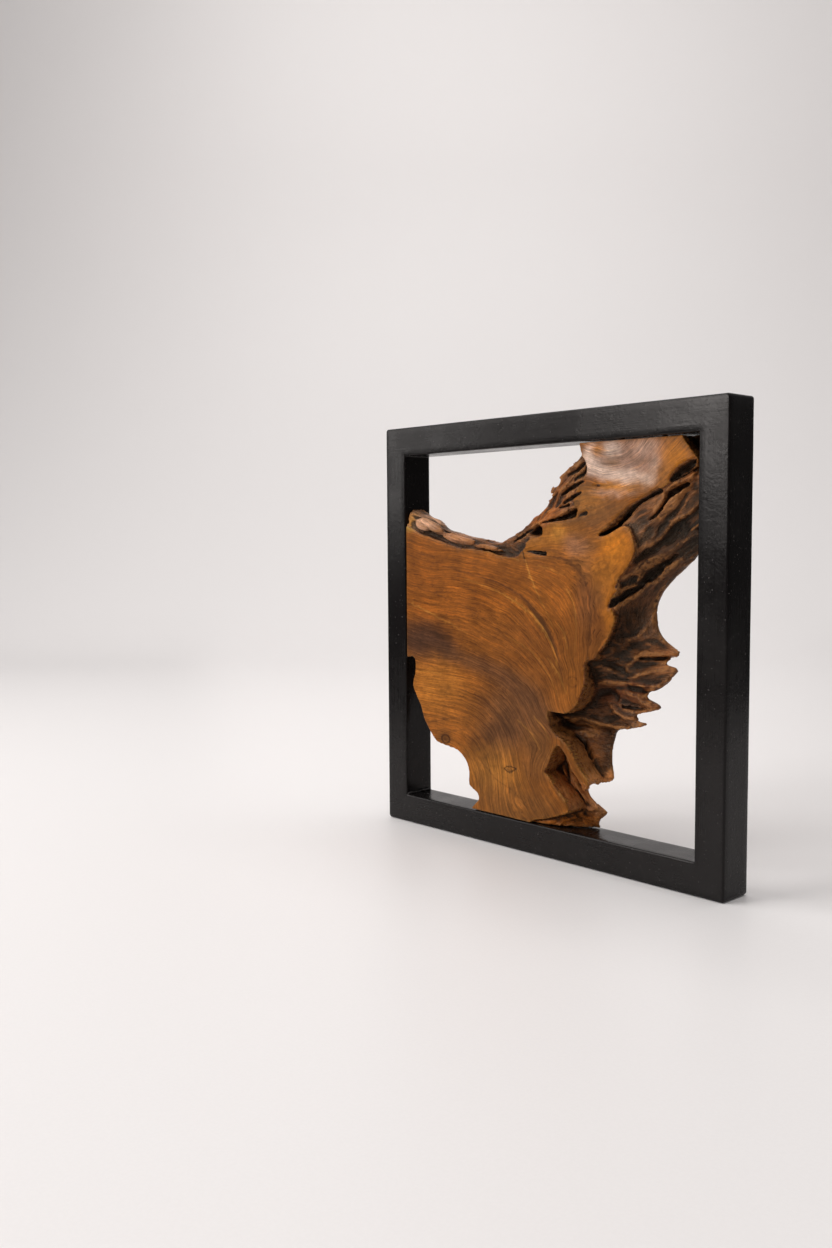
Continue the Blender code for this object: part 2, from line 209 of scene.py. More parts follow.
def near_box(x, z, curve, reach):
    """True for the places within reach of a curve's bounding box."""
    inside = (x > curve[:, 0].min() - reach) & (x < curve[:, 0].max() + reach)
    return inside & (z > curve[:, 1].min() - reach) & (z < curve[:, 1].max() + reach)


def near_curve(x, z, curve, with_side=False):
    """Distance from each place to a curve, and the curve's other columns where it is nearest.

    The side is above 0 to the left of the curve's course and below 0 to its right.
    """
    nearest = np.full(np.shape(x), 1e9, np.float32)
    extras = [np.zeros(np.shape(x), np.float32) for _ in range(curve.shape[1] - 2 + with_side)]
    for start, end in zip(curve, curve[1:]):
        run = end[:2] - start[:2]
        share = ((x - start[0]) * run[0] + (z - start[1]) * run[1]) / max(run @ run, 1e-9)
        share = np.clip(share, 0.0, 1.0)
        distance = np.hypot(x - start[0] - share * run[0], z - start[1] - share * run[1])
        closer = distance < nearest
        nearest = np.where(closer, distance, nearest)
        values = [a + share * (b - a) for a, b in zip(start[2:], end[2:])]
        if with_side:
            values.append(run[0] * (z - start[1]) - run[1] * (x - start[0]))
        for column, here in enumerate(values):
            extras[column] = np.where(closer, here, extras[column])
    return nearest, extras


def near_lines(x, z, lines, widths=1.0, with_side=False):
    """For each line: which places are near it, how near, and its other columns there."""
    for line in lines:
        curve = smooth_curve(line)
        near = near_box(x, z, curve, widths * curve[:, 2].max() + 1.0)
        yield near, *near_curve(x[near], z[near], curve, with_side)


def oval(x, z, px, pz, rx, rz):
    """Squared distance from a centre, 1 on the oval with these radii."""
    return ((x - px) / rx) ** 2 + ((z - pz) / rz) ** 2


# ---- Grain: lines of equal value follow the fibres, and values are about a millimetre apart ----
SANDED_GRAIN = ThinPlate([
    (312, [(-170, 310), (-120, 296), (-80, 288), (-40, 281)]),
    (297, [(-170, 292), (-120, 282), (-60, 275), (-20, 269), (10, 266), (35, 259), (51, 246),
           (57, 228), (57, 200), (57, 176)]),
    (275, [(-170, 274), (-110, 267), (-50, 259), (-10, 250), (18, 238), (36, 222), (46, 200),
           (50, 172), (48, 152)]),
    (258, [(-170, 258), (-100, 253), (-60, 248), (-20, 237), (5, 220), (20, 205), (30, 186),
           (38, 165), (40, 146)]),
    (228, [(-170, 228), (-110, 222), (-50, 210), (-10, 190), (12, 172), (26, 152), (30, 137)]),
    (200, [(-170, 200), (-120, 192), (-60, 182), (-20, 168), (5, 150), (14, 134)]),
    (170, [(-165, 170), (-120, 166), (-70, 163), (-35, 152), (-12, 132), (3, 112), (12, 95)]),
    (150, [(-158, 150), (-110, 150), (-70, 145), (-40, 130), (-22, 110), (-15, 92), (-12, 74),
           (-3, 56), (10, 40)]),
    (128, [(-150, 128), (-110, 126), (-75, 120), (-52, 105), (-42, 85), (-38, 62), (-34, 35)]),
    (106, [(-140, 106), (-110, 104), (-82, 97), (-66, 80), (-59, 60), (-55, 32)]),
    (90, [(-125, 92), (-104, 89), (-86, 75), (-77, 52), (-72, 30)]),
    (185, [(24, 112), (17, 92), (12, 76), (20, 62), (34, 47), (38, 42)]),
    (210, [(36, 108), (45, 92), (56, 80)]),
    (301, [(66, 250), (67, 225), (66, 198), (64, 186)]),
    (304, [(76, 248), (79, 225), (77, 200), (74, 190)]),
    (301, [(90, 252), (90, 236), (86, 215)]),
    (304, [(75, 270), (92, 275), (104, 285)]),
    (312, [(-22, 280), (10, 284), (40, 285), (66, 289), (90, 298)]),
    (326, [(-20, 291), (10, 299), (40, 303), (70, 312), (105, 326), (140, 341), (163, 352)]),
    (340, [(2, 310), (30, 322), (55, 330), (85, 330), (115, 336), (138, 350), (152, 362)]),
    (356, [(35, 344), (58, 348), (80, 342), (105, 346), (125, 358), (135, 371)]),
    (370, [(52, 364), (70, 358), (88, 356), (105, 362), (112, 371)]),
])

NATURAL_GRAIN = ThinPlate([
    (318, [(-165, 312), (-135, 300), (-100, 292), (-60, 285), (-30, 288)]),
    (306, [(-160, 300), (-125, 289), (-90, 281), (-50, 276)]),
    (340, [(-5, 310), (18, 326), (34, 342), (50, 360)]),
    (330, [(10, 312), (30, 324), (48, 334)]),
    (318, [(76, 294), (98, 309), (120, 322), (145, 334), (168, 348)]),
    (309, [(92, 292), (112, 304), (135, 318), (168, 336)]),
    (300, [(84, 240), (92, 256), (106, 276), (125, 292), (146, 308), (168, 322)]),
    (290, [(76, 222), (84, 236), (96, 256), (115, 272), (140, 287), (168, 305)]),
    (281, [(70, 212), (80, 222), (92, 238), (106, 252), (128, 267), (160, 290)]),
    (273, [(66, 206), (80, 210), (93, 219), (103, 234), (118, 250), (140, 268)]),
    (265, [(60, 201), (80, 202), (98, 206), (109, 216), (115, 230), (126, 246)]),
    (256, [(60, 195), (85, 196), (110, 196), (138, 195)]),
    (246, [(60, 184), (85, 185), (108, 185), (132, 188)]),
    (236, [(60, 172), (85, 172), (110, 175), (138, 182)]),
    (226, [(57, 161), (80, 163), (102, 165), (124, 170)]),
    (216, [(54, 151), (78, 154), (98, 153), (120, 149)]),
    (206, [(46, 140), (70, 143), (86, 139), (108, 138)]),
    (196, [(20, 127), (42, 127), (62, 124), (90, 124)]),
    (188, [(26, 119), (46, 119), (66, 118)]),
    (181, [(38, 109), (52, 107), (66, 108)]),
    (173, [(46, 97), (57, 94), (67, 95)]),
    (166, [(52, 85), (60, 81), (68, 80)]),
    (184, [(35, 96), (42, 80), (52, 66)]),
    (176, [(29, 92), (36, 76), (46, 60), (60, 48)]),
    (168, [(22, 92), (26, 77), (35, 62), (48, 49)]),
    (160, [(15, 82), (19, 68), (28, 52), (42, 41)]),
    (150, [(0, 33), (20, 35), (40, 35)]),
])


def along_sanded(x, z):
    """Rises along the fibres of the sanded wood."""
    return 0.8 * x + 0.6 * np.hypot(z - 285.0, 12.0)


def along_natural(x, z):
    """Rises along the fibres of the natural surface, whose fan opens at a height of 140."""
    return x + np.hypot(z - 140.0, 15.0)


# ---- The root's features ----
# Furrows cut into the front surface: (x, z, half width, depth) along each
FURROWS = [
    # slots in the crown's lower left
    [(6, 302.5, 0.5, 2), (18, 304.5, 1.0, 5), (32, 307, 2.0, 9), (44, 311, 3.2, 12),
     (47, 313, 2.0, 8)],
    [(-8, 294, 1.0, 3), (-1, 295.5, 4.2, 14), (6, 296.5, 3.4, 12), (9, 297, 1.0, 4)],
    [(-10, 277.5, 0.6, 2), (2, 276.5, 1.3, 5), (13, 275.2, 1.5, 6)],
    [(53, 308.5, 1.0, 3), (58, 310.5, 1.4, 4)],
    [(67, 333.5, 0.8, 2), (72, 333.2, 0.9, 2), (78, 333.5, 0.7, 1)],
    [(-30, 286, 0.8, 3), (-14, 293, 1.2, 4), (-2, 300, 0.8, 3)],
    # furrows in the crown's rough left edge
    [(30, 327, 1.2, 4), (38, 332, 1.6, 6), (48, 336, 1.4, 5), (56, 338, 0.8, 3)],
    [(32, 320, 1.0, 3), (42, 324.5, 1.7, 6), (52, 328.5, 1.0, 4)],
    [(28, 316, 0.8, 3), (38, 318, 1.2, 4)],
    [(36, 344, 1.0, 3), (46, 348, 1.6, 5), (55, 354, 1.2, 4)],
    [(44, 340, 0.9, 3), (54, 345, 1.6, 5), (57, 350, 1.4, 5)],
    # the long groove under the crown, and the slots at its right end
    [(73, 291.2, 1.2, 4), (84, 296.5, 2.2, 7), (95, 305.5, 2.3, 8), (107, 315.5, 1.7, 6),
     (118, 321.5, 1.2, 4), (132, 328, 1.6, 5)],
    [(143, 336, 1.6, 5), (149, 341, 3.0, 8), (157, 346, 3.4, 10), (164, 350, 1.8, 7)],
    [(121, 304, 0.8, 3), (128, 310, 1.2, 4), (135, 318, 1.8, 7), (139, 324, 2.4, 8), (147, 328, 2.6, 9),
     (156, 332, 1.8, 7)],
    # the bite and the oval groove at the sanded face's right edge
    [(93, 248, 2.4, 3), (99, 252, 3.0, 4), (105, 257, 1.6, 3)],
    [(85.5, 231.5, 1.6, 5), (89, 236, 2.8, 8), (94, 241, 2.8, 8), (101, 246, 2.0, 6),
     (108, 250, 1.2, 3)],
    # dark folds of the flank
    [(104, 250, 1.4, 4), (110, 255, 3.2, 7), (118, 261, 3.2, 7), (126, 267, 1.8, 5),
     (136, 274, 1.0, 3)],
    [(128, 286, 1.4, 3), (135, 292, 2.2, 5), (143, 299, 2.0, 5), (154, 306, 1.4, 3)],
    # splits between the splinters
    [(104, 186, 1.0, 3), (120, 187, 1.5, 5), (134, 188.5, 1.3, 5)],
    [(98, 159, 1.0, 3), (112, 157, 1.6, 5), (122, 160, 1.2, 4)],
    [(84, 143, 1.0, 3), (97, 142.5, 1.5, 5), (108, 143, 1.2, 4)],
]

# Ledges: the surface drops on the lower right side, over a width, by a depth
LEDGES = [
    [(103, 266, 12, 3), (111, 277, 14, 5), (121, 283, 15, 6), (129, 288, 15, 6), (136, 295, 13, 6),
     (145, 301, 12, 5), (155, 308, 10, 4), (168, 318, 8, 3)],
    [(127, 299, 6, 2), (137, 307, 8, 4), (146, 316, 8, 4), (153, 324, 8, 4), (160, 331, 6, 3)],
    [(84, 190, 10, 2), (98, 200, 10, 3), (112, 204, 10, 3), (124, 200, 8, 2)],
]

# Crests (+) and hollows (-) of the natural surface: (x, z, half width, height) along each
SWELLS = [
    # flank
    [(124, 301, 6, 1.5), (132, 308, 7, 2.5), (141, 317, 7, 3), (149, 324, 6, 3), (157, 329, 5, 2)],
    [(141, 329, 2.0, 2), (147, 332, 2.4, 3), (157, 336, 2.4, 3.5), (161, 341, 2, 3),
     (164, 346, 1.6, 2)],
    [(150, 291, 2, 1), (153, 293, 2.6, 2), (159, 297, 2.8, 3), (168, 303, 2.8, 3)],
    [(100, 264, 6, 2), (113, 269, 7, 3), (126, 276, 7, 3.5), (140, 283, 7, 3.5), (160, 293, 6, 3)],
    [(92, 238, 4, 1), (102, 246, 5, 2), (116, 254, 5, 2.5), (129, 262, 5, 2.5), (142, 270, 4, 2)],
    [(78, 216, 6, 1), (88, 228, 8, 2), (100, 238, 8, 1.5)],
    # ridge along the fan's lower edge, and the fold above it
    [(12, 127, 2, 2), (26, 127, 3.5, 3), (41, 127, 4, 4), (59, 124.5, 4, 4), (81, 124, 4, 3.5),
     (96, 126, 4, 3), (109, 129, 3, 2), (115, 132, 2, 1)],
    [(67, 145, 3, 1), (74, 139, 4, 2.5), (83, 135, 4, 3), (94, 134, 4, 3), (105, 136, 3, 2)],
    # the splinters
    [(80, 157, 3, 1), (95, 155, 4, 3), (109, 150, 4, 3), (119, 147, 3, 2.5), (125, 147.5, 2, 1.5)],
    [(92, 169, 3, 1.5), (108, 174, 4, 3), (123, 178, 4, 3), (134, 181, 3, 2), (140, 182, 2, 1)],
    [(101, 163, 2, 1), (116, 163, 3, 2), (128, 169, 3, 2), (136, 175, 2, 1)],
    [(96, 188, 3, 1.5), (111, 190, 4, 3), (125, 191, 4, 3), (132, 192, 3, 2), (138, 193, 2, 1)],
    [(50, 160, 3, 1), (69, 164, 4, 2.5), (81, 163, 4, 2.5), (94, 165, 3, 1.5)],
    [(87, 172, 3, 1.5), (95, 181, 3.4, 2.5), (105, 190, 3, 2), (114, 195, 2, 1)],
    [(70, 199, 3, 1), (83, 200, 3, 1.5), (96, 203, 4, 2.5), (107, 211, 4, 2), (112, 223, 3, 1.5)],
    # hollows between them
    [(61, 184, 6, -2), (75, 180, 7, -4), (88, 174, 5, -3)],
    [(56, 150, 6, -2), (66, 154, 8, -4), (77, 151, 6, -3)],
    [(84, 147, 4, -2), (98, 144.5, 5, -3), (110, 143, 3, -2)],
    [(92, 161, 4, -2), (107, 158, 5, -3), (120, 158, 3, -2)],
    [(100, 181, 4, -2), (114, 184, 5, -3), (128, 187, 3, -2)],
    [(14, 121, 3, -2), (33, 118, 5, -4), (52, 117, 5, -3), (66, 118, 4, -1)],
    # strands of the pocket beside the foot
    [(10, 84, 1.8, 2), (14, 70, 2.4, 3), (22, 56, 2.4, 3), (34, 43, 2.2, 2), (46, 36, 2, 1)],
    [(15, 90, 2.0, 2), (19, 76, 2.6, 4), (28, 61, 2.6, 4), (40, 48, 2.4, 3), (52, 41, 2, 1)],
    [(20, 92, 2.0, 3), (26, 78, 2.4, 4), (35, 64, 2.4, 4), (46, 52, 2.2, 3), (56, 45, 2, 1)],
    [(26, 91, 1.8, 3), (33, 77, 2.2, 3.5), (42, 63, 2.2, 3), (53, 52, 1.8, 2), (60, 48, 1.6, 1)],
    [(32, 86, 1.6, 2), (41, 72, 2.0, 2.5), (50, 60, 1.6, 2)],
    [(17, 87, 1.6, -3), (22, 72, 1.8, -4), (32, 58, 1.8, -3), (44, 47, 1.4, -2)],
    [(23, 88, 1.6, -3), (30, 74, 1.8, -4), (40, 60, 1.6, -3), (50, 50, 1.2, -2)],
    [(12, 80, 1.4, -2), (17, 66, 1.6, -3), (27, 52, 1.6, -2)],
]

# How strongly the weathered relief shows: x, z, radius along X and Z, and amount
RELIEF_EVERYWHERE = 0.6
RELIEF_ZONES = [
    (-90, 170, 110, 140, 0.35),
    (-90, 295, 90, 14, 0.55),
    (30, 330, 26, 26, 1.0),
    (138, 322, 28, 22, 0.62),
    (130, 272, 36, 20, 0.42),
    (108, 225, 24, 24, 0.18),
    (114, 180, 32, 18, 0.40),
    (106, 150, 26, 14, 0.32),
    (64, 150, 18, 14, 0.18),
    (60, 105, 24, 22, 0.12),
    (36, 66, 18, 28, 0.9),
]

# Fine cracks of the sanded wood: (x, z) along each
CRACKS = [
    [(-37, 74), (-33, 76.5), (-28, 77), (-22, 75.8)],
    [(-37, 74), (-33, 72), (-28, 71.8), (-22, 75.8)],
    [(-15, 281), (-13, 275), (-11, 270)],
    [(-62, 282), (-50, 279), (-36, 277.5), (-18, 279)],
]

# Knots: centre, radii and darkness
KNOTS = [
    ((-115, 92.5), 5.5, 4.0, 0.8),
    ((-66, 90), 13.0, 10.0, 0.22),
    ((49, 319), 2.6, 2.4, 0.6),
    ((64, 316), 4.5, 3.2, 0.3),
    ((-30, 74.3), 2.6, 1.5, 0.4),
    ((-37, 148), 2.2, 1.8, 0.4),
    ((45, 163), 6.0, 4.5, 0.35),
    ((-52, 80), 8.0, 6.0, 0.2),
]

# Lines drawn in the sanded wood: (x, z, half width, strength) along each
PALE_LINES = [
    [(-11, 270, 0.6, 0.7), (-7, 261, 0.9, 1.0), (-1, 249, 0.9, 1.0), (5, 238, 0.8, 0.8),
     (16, 222, 0.7, 0.5), (24, 206, 0.6, 0.4)],
    [(-60, 277, 0.8, 0.5), (-36, 274, 0.9, 0.6), (-18, 269, 0.8, 0.6)],
    [(4, 265, 0.7, 0.6), (22, 261, 0.8, 0.5), (32, 257, 0.6, 0.3)],
    [(-88, 251, 0.7, 0.4), (-45, 240, 0.9, 0.6), (-12, 226, 1.1, 0.9), (8, 212, 1.1, 0.9),
     (22, 193, 0.9, 0.8), (28, 175, 0.7, 0.6)],
    [(38, 244, 0.8, 0.6), (46, 232, 0.8, 0.7), (49, 214, 0.7, 0.5), (48, 190, 0.6, 0.3)],
    [(28, 214, 0.7, 0.5), (36, 204, 0.8, 0.6), (39, 192, 0.7, 0.5)],
    [(16, 182, 0.7, 0.5), (30, 168, 0.8, 0.7), (38, 152, 0.7, 0.5)],
    [(-30, 198, 0.6, 0.3), (-2, 186, 0.7, 0.5), (18, 166, 0.7, 0.5), (30, 146, 0.6, 0.3)],
    [(-164, 224, 0.9, 0.6), (-140, 217, 0.9, 0.7), (-112, 208, 0.8, 0.5), (-84, 198, 0.6, 0.3)],
    [(-20, 122, 0.7, 0.4), (-4, 112, 0.8, 0.6), (8, 98, 0.7, 0.4)],
    [(0, 128, 0.7, 0.4), (12, 118, 0.8, 0.5), (20, 106, 0.7, 0.3)],
    [(-158, 156, 0.8, 0.5), (-140, 157, 0.8, 0.5), (-120, 156, 0.7, 0.3)],
]
DARK_RINGS = [
    [(-150, 268, 0.7, 0.3), (-120, 263, 0.9, 0.4), (-87, 257, 1.0, 0.6), (-41, 247, 1.2, 0.8),
     (-14, 235, 2.0, 0.9), (2, 222, 3.4, 1.0), (14, 209, 3.4, 1.0), (24, 194, 2.0, 0.9),
     (30, 178, 1.2, 0.7), (35, 158, 0.8, 0.5)],
    [(-90, 243, 0.7, 0.3), (-50, 232, 0.8, 0.4), (-20, 217, 0.8, 0.4), (0, 200, 0.7, 0.3)],
    [(20, 273, 2.0, 0.6), (37, 270, 2.2, 0.8), (54, 258, 2.2, 0.8), (63, 240, 1.8, 0.7),
     (65, 216, 1.4, 0.6), (62, 195, 1.0, 0.5), (60, 172, 0.8, 0.4)],
    [(10, 280, 1.6, 0.5), (24, 278, 2.0, 0.7), (36, 274, 1.6, 0.5)],
    [(-160, 242, 0.8, 0.3), (-120, 233, 0.9, 0.4), (-80, 221, 0.9, 0.5), (-40, 200, 0.8, 0.4),
     (-10, 178, 0.7, 0.3)],
    [(-140, 106, 1.0, 0.5), (-120, 111, 1.1, 0.6), (-101, 115, 0.9, 0.5), (-76, 119, 0.7, 0.3)],
    [(-116, 98, 0.8, 0.4), (-98, 103, 0.9, 0.5), (-80, 105, 0.7, 0.3)],
    [(-4, 96, 0.8, 0.4), (-1, 82, 1.0, 0.6), (-4, 68, 1.0, 0.6), (2, 54, 0.8, 0.4)],
    [(-20, 86, 0.7, 0.3), (-10, 80, 0.9, 0.5), (-9, 72, 0.7, 0.4)],
    [(-76, 84, 0.8, 0.3), (-60, 72, 1.0, 0.5), (-46, 62, 1.0, 0.5), (-24, 54, 0.8, 0.4),
     (-6, 40, 0.7, 0.3)],
    [(-48, 46, 0.7, 0.3), (-50, 36, 0.7, 0.4), (-53, 28, 0.6, 0.3)],
]
PLUM_BANDS = [
    [(-112, 176, 8, 0.7), (-92, 173, 11, 0.9), (-61, 168, 13, 1.0), (-35, 159, 15, 1.0),
     (-10, 147, 15, 1.0), (8, 134, 13, 0.9), (20, 116, 9, 0.5)],
]
PALE_LINE_TONE = (204, 146, 82)
DARK_RING_TONE = (80, 50, 36)
PLUM_TONE = (98, 64, 52)

# Swellings of bark above the sanded face: centre, radii, and the slope along X
BARK_BLEND = 1.5            # how far a swelling runs into the wood round it
BARK_LUMPS = [
    ((-150.0, -11.0, 302.5), (13.0, 5.5, 7.0), -0.12),
    ((-133.0, -11.5, 299.0), (12.0, 4.5, 5.0), -0.35),
    ((-100.0, -12.0, 288.0), (24.0, 3.8, 4.5), -0.18),
    ((-60.0, -12.5, 280.5), (22.0, 3.4, 2.8), -0.10),
]


# ---- The root's volume ----
class Grid:
    """A box of cells round the root; x, y and z are the cells' places."""

    def __init__(self, low, shape):
        self.low = np.array(low)
        self.x, self.y, self.z = (
            ((np.arange(n) + start) * VOXEL).astype(np.float32) for n, start in zip(shape, low)
        )

    def plane(self):
        """Places of the grid's columns, seen from the front."""
        return np.meshgrid(self.x, self.z, indexing="ij")

    def flat_sample(self, field, x, z):
        """Value of a front-view field at each place, between its columns."""
        return self.sample(field[:, None, :], x, np.full_like(x, self.y[0]), z)

    def sample(self, field, x, y, z):
        """Value of a field at each place, between its cells."""
        total = 0.0
        index, part = [], []
        for places, start, count in zip((x, y, z), self.low, field.shape):
            cell = places / VOXEL - start
            floor = np.clip(np.floor(cell).astype(int), 0, max(count - 2, 0))
            index.append(floor)
            part.append(np.clip(cell - floor, 0.0, 1.0))
        steps = [(0, 1) if count > 1 else (0,) for count in field.shape]
        for i in steps[0]:
            for j in steps[1]:
                for k in steps[2]:
                    weight = part[0] if i else 1 - part[0]
                    if len(steps[1]) > 1:
                        weight = weight * (part[1] if j else 1 - part[1])
                    weight = weight * (part[2] if k else 1 - part[2])
                    total = total + weight * field[index[0] + i, index[1] + j, index[2] + k]
        return total


def cad_level_set(node):
    """Signed distance to a CAD node, below 0 inside, and its grid."""
    mesh = node.data
    places = triples(mesh.vertices, "co") / MM
    keys, inverse = np.unique(np.round(places, 3), axis=0, return_inverse=True)
    mesh.calc_loop_triangles()
    triangles = np.ravel(inverse)[triples(mesh.loop_triangles, "vertices", np.int32)]
    level = vdb.FloatGrid.createLevelSetFromPolygons(
        keys.astype(np.float32), triangles=triangles.astype(np.uint32),
        transform=vdb.createLinearTransform(voxelSize=VOXEL), halfWidth=BAND,
    )
    low, high = level.evalActiveVoxelBoundingBox()
    distance = np.empty(tuple(b - a + 1 for a, b in zip(low, high)), np.float32)
    level.copyToArray(distance, ijk=low)
    return distance, Grid(low, distance.shape)


def front_depth(distance, grid):
    """For each column seen from the front, the depth of the first surface, and where one is."""
    solid = distance < 0
    first = np.argmax(solid, axis=1)
    found = solid.any(axis=1)
    before = np.maximum(first - 1, 0)
    rows, columns = np.indices(first.shape)
    inner = distance[rows, first, columns]
    outer = distance[rows, before, columns]
    share = np.clip(outer / np.maximum(outer - inner, 1e-6), 0.0, 1.0)
    depth = grid.y[before] + share * VOXEL
    return np.where(found, depth, BACK_Y).astype(np.float32), found


def crown_plane(x, z):
    return FACE_Y + CROWN_LEAN[0] * (x - CROWN_CORNER[0]) + CROWN_LEAN[1] * (z - CROWN_CORNER[1])


def raise_front(distance, grid, front, heights):
    """Bring the front surface forward by heights."""
    top = (front - heights)[:, None, :] - grid.y[None, :, None]
    under = grid.y[None, :, None] - (front + 1.5)[:, None, :]
    added = np.maximum(top, under)
    return np.where(heights[:, None, :] > 0.05, np.minimum(distance, added), distance)


def carve(distance, grid, front, depth_map):
    """Cut the front surface back by depth_map."""
    floor = (front + depth_map)[:, None, :] - grid.y[None, :, None]
    cut = np.where(depth_map[:, None, :] > 0.02, floor, -BAND)
    return np.maximum(distance, cut)


def furrow_depths(x, z):
    """Depth of all furrows together over the front view, with ragged edges."""
    depth_map = np.zeros(x.shape, np.float32)
    x = x + 0.7 * flat_noise(x, z, 4.4, 24) + 1.2 * flat_noise(x, z, 9, 25)
    z = z + 0.7 * flat_noise(x, z, 4.0, 26)
    for near, away, (width, depth) in near_lines(x, z, FURROWS, FURROW_SHOULDER):
        share = away / (FURROW_SHOULDER * np.maximum(width, 0.5))
        depth_map[near] = np.maximum(depth_map[near], depth * np.clip(1.0 - share ** 2, 0.0, 1.0) ** 1.3)
    return depth_map


def relief_amount(x, z):
    """How strongly the weathered relief shows over the front view."""
    amount = np.full(x.shape, RELIEF_EVERYWHERE, np.float32)
    for *zone, value in RELIEF_ZONES:
        squared = oval(x, z, *zone)
        amount += (value - amount) * np.exp(-squared * squared)
    return amount


def sculpted_heights(x, z):
    """Listed ledges, crests and hollows: how far the surface rises towards the front."""
    x = x + 1.6 * flat_noise(x, z, 11, 27)
    z = z + 1.6 * flat_noise(x, z, 11, 28)
    heights = np.zeros(x.shape, np.float32)
    for near, away, (width, height) in near_lines(x, z, SWELLS):
        slope = np.clip(1.0 - away / np.maximum(width, 0.5), 0.0, 1.0)
        shape = np.where(height > 0, slope ** 1.35, slope * slope * (3 - 2 * slope))
        heights[near] += height * shape
    for near, away, (width, depth, side) in near_lines(x, z, LEDGES, with_side=True):
        fade = np.clip(1.0 - away / width, 0.0, 1.0) ** 1.4
        heights[near] -= np.where(side < 0, depth * fade * ramp(away, 0.0, 1.2), 0.0)
    return heights


def natural_relief(x, y, z, grain, along):
    """Height of the weathered wood's ridges (+) and hollows (-) in millimetres, near 0."""
    drift = 2.2 * gradient_noise(x / 34, y / 34, z / 34, 11)
    drift += 0.9 * gradient_noise(x / 10, y / 10, z / 10, 16)
    warped = grain + drift
    broad = gradient_noise(warped / 11.0, along / 75, y / 13, 12)
    strands = ridged(gradient_noise(warped / 5.2, along / 46, y / 6, 13), 2.4)
    fibres = ridged(gradient_noise(warped / 2.2, along / 26, y / 2.8, 14), 2.2)
    splits = ridged(gradient_noise(warped / 6.5, along / 30, y / 8, 18), 7.0)
    lumps = gradient_noise(x / 9, y / 9, z / 9, 15)
    pits = np.clip(gradient_noise(x / 3.2, y / 3.2, z / 3.2, 17) - 0.45, 0.0, 1.0)
    strand_height = 1.7 * (strands * strands - 0.35)
    fibre_height = 0.75 * (fibres - 0.5) * (0.45 + 0.8 * strands)
    split_depth = 1.5 * splits * ramp(lumps, -0.1, 0.4)
    return 1.2 * broad + strand_height + fibre_height + 0.4 * lumps - 1.1 * pits - split_depth


def with_bark_lumps(distance, grid):
    """The volume with leaning, stretched balls blended into it."""
    x, y, z = grid.x[:, None, None], grid.y[None, :, None], grid.z[None, None, :]
    for centre, radii, slope in BARK_LUMPS:
        leaning = (x, y, z - slope * (x - centre[0]))
        offset = [(axis - c) / radius for axis, c, radius in zip(leaning, centre, radii)]
        ball = (np.sqrt(sum(o * o for o in offset)) - 1.0) * min(radii)
        share = np.clip(0.5 + 0.5 * (distance - ball) / BARK_BLEND, 0.0, 1.0)
        distance = distance + (ball - distance) * share - BARK_BLEND * share * (1 - share) * 0.5
    return distance


def within_limits(distance, grid):
    """Nothing stands proud of the sanded face, the sawn back or the frame's opening."""
    limits = ((grid.y, FACE_Y, BACK_Y, 1), (grid.x, *ROOT_SPAN_X, 0), (grid.z, *ROOT_SPAN_Z, 2))
    for places, low, high, axis in limits:
        shape = [1, 1, 1]
        shape[axis] = len(places)
        distance = np.maximum(distance, np.maximum(low - places, places - high).reshape(shape))
    return distance


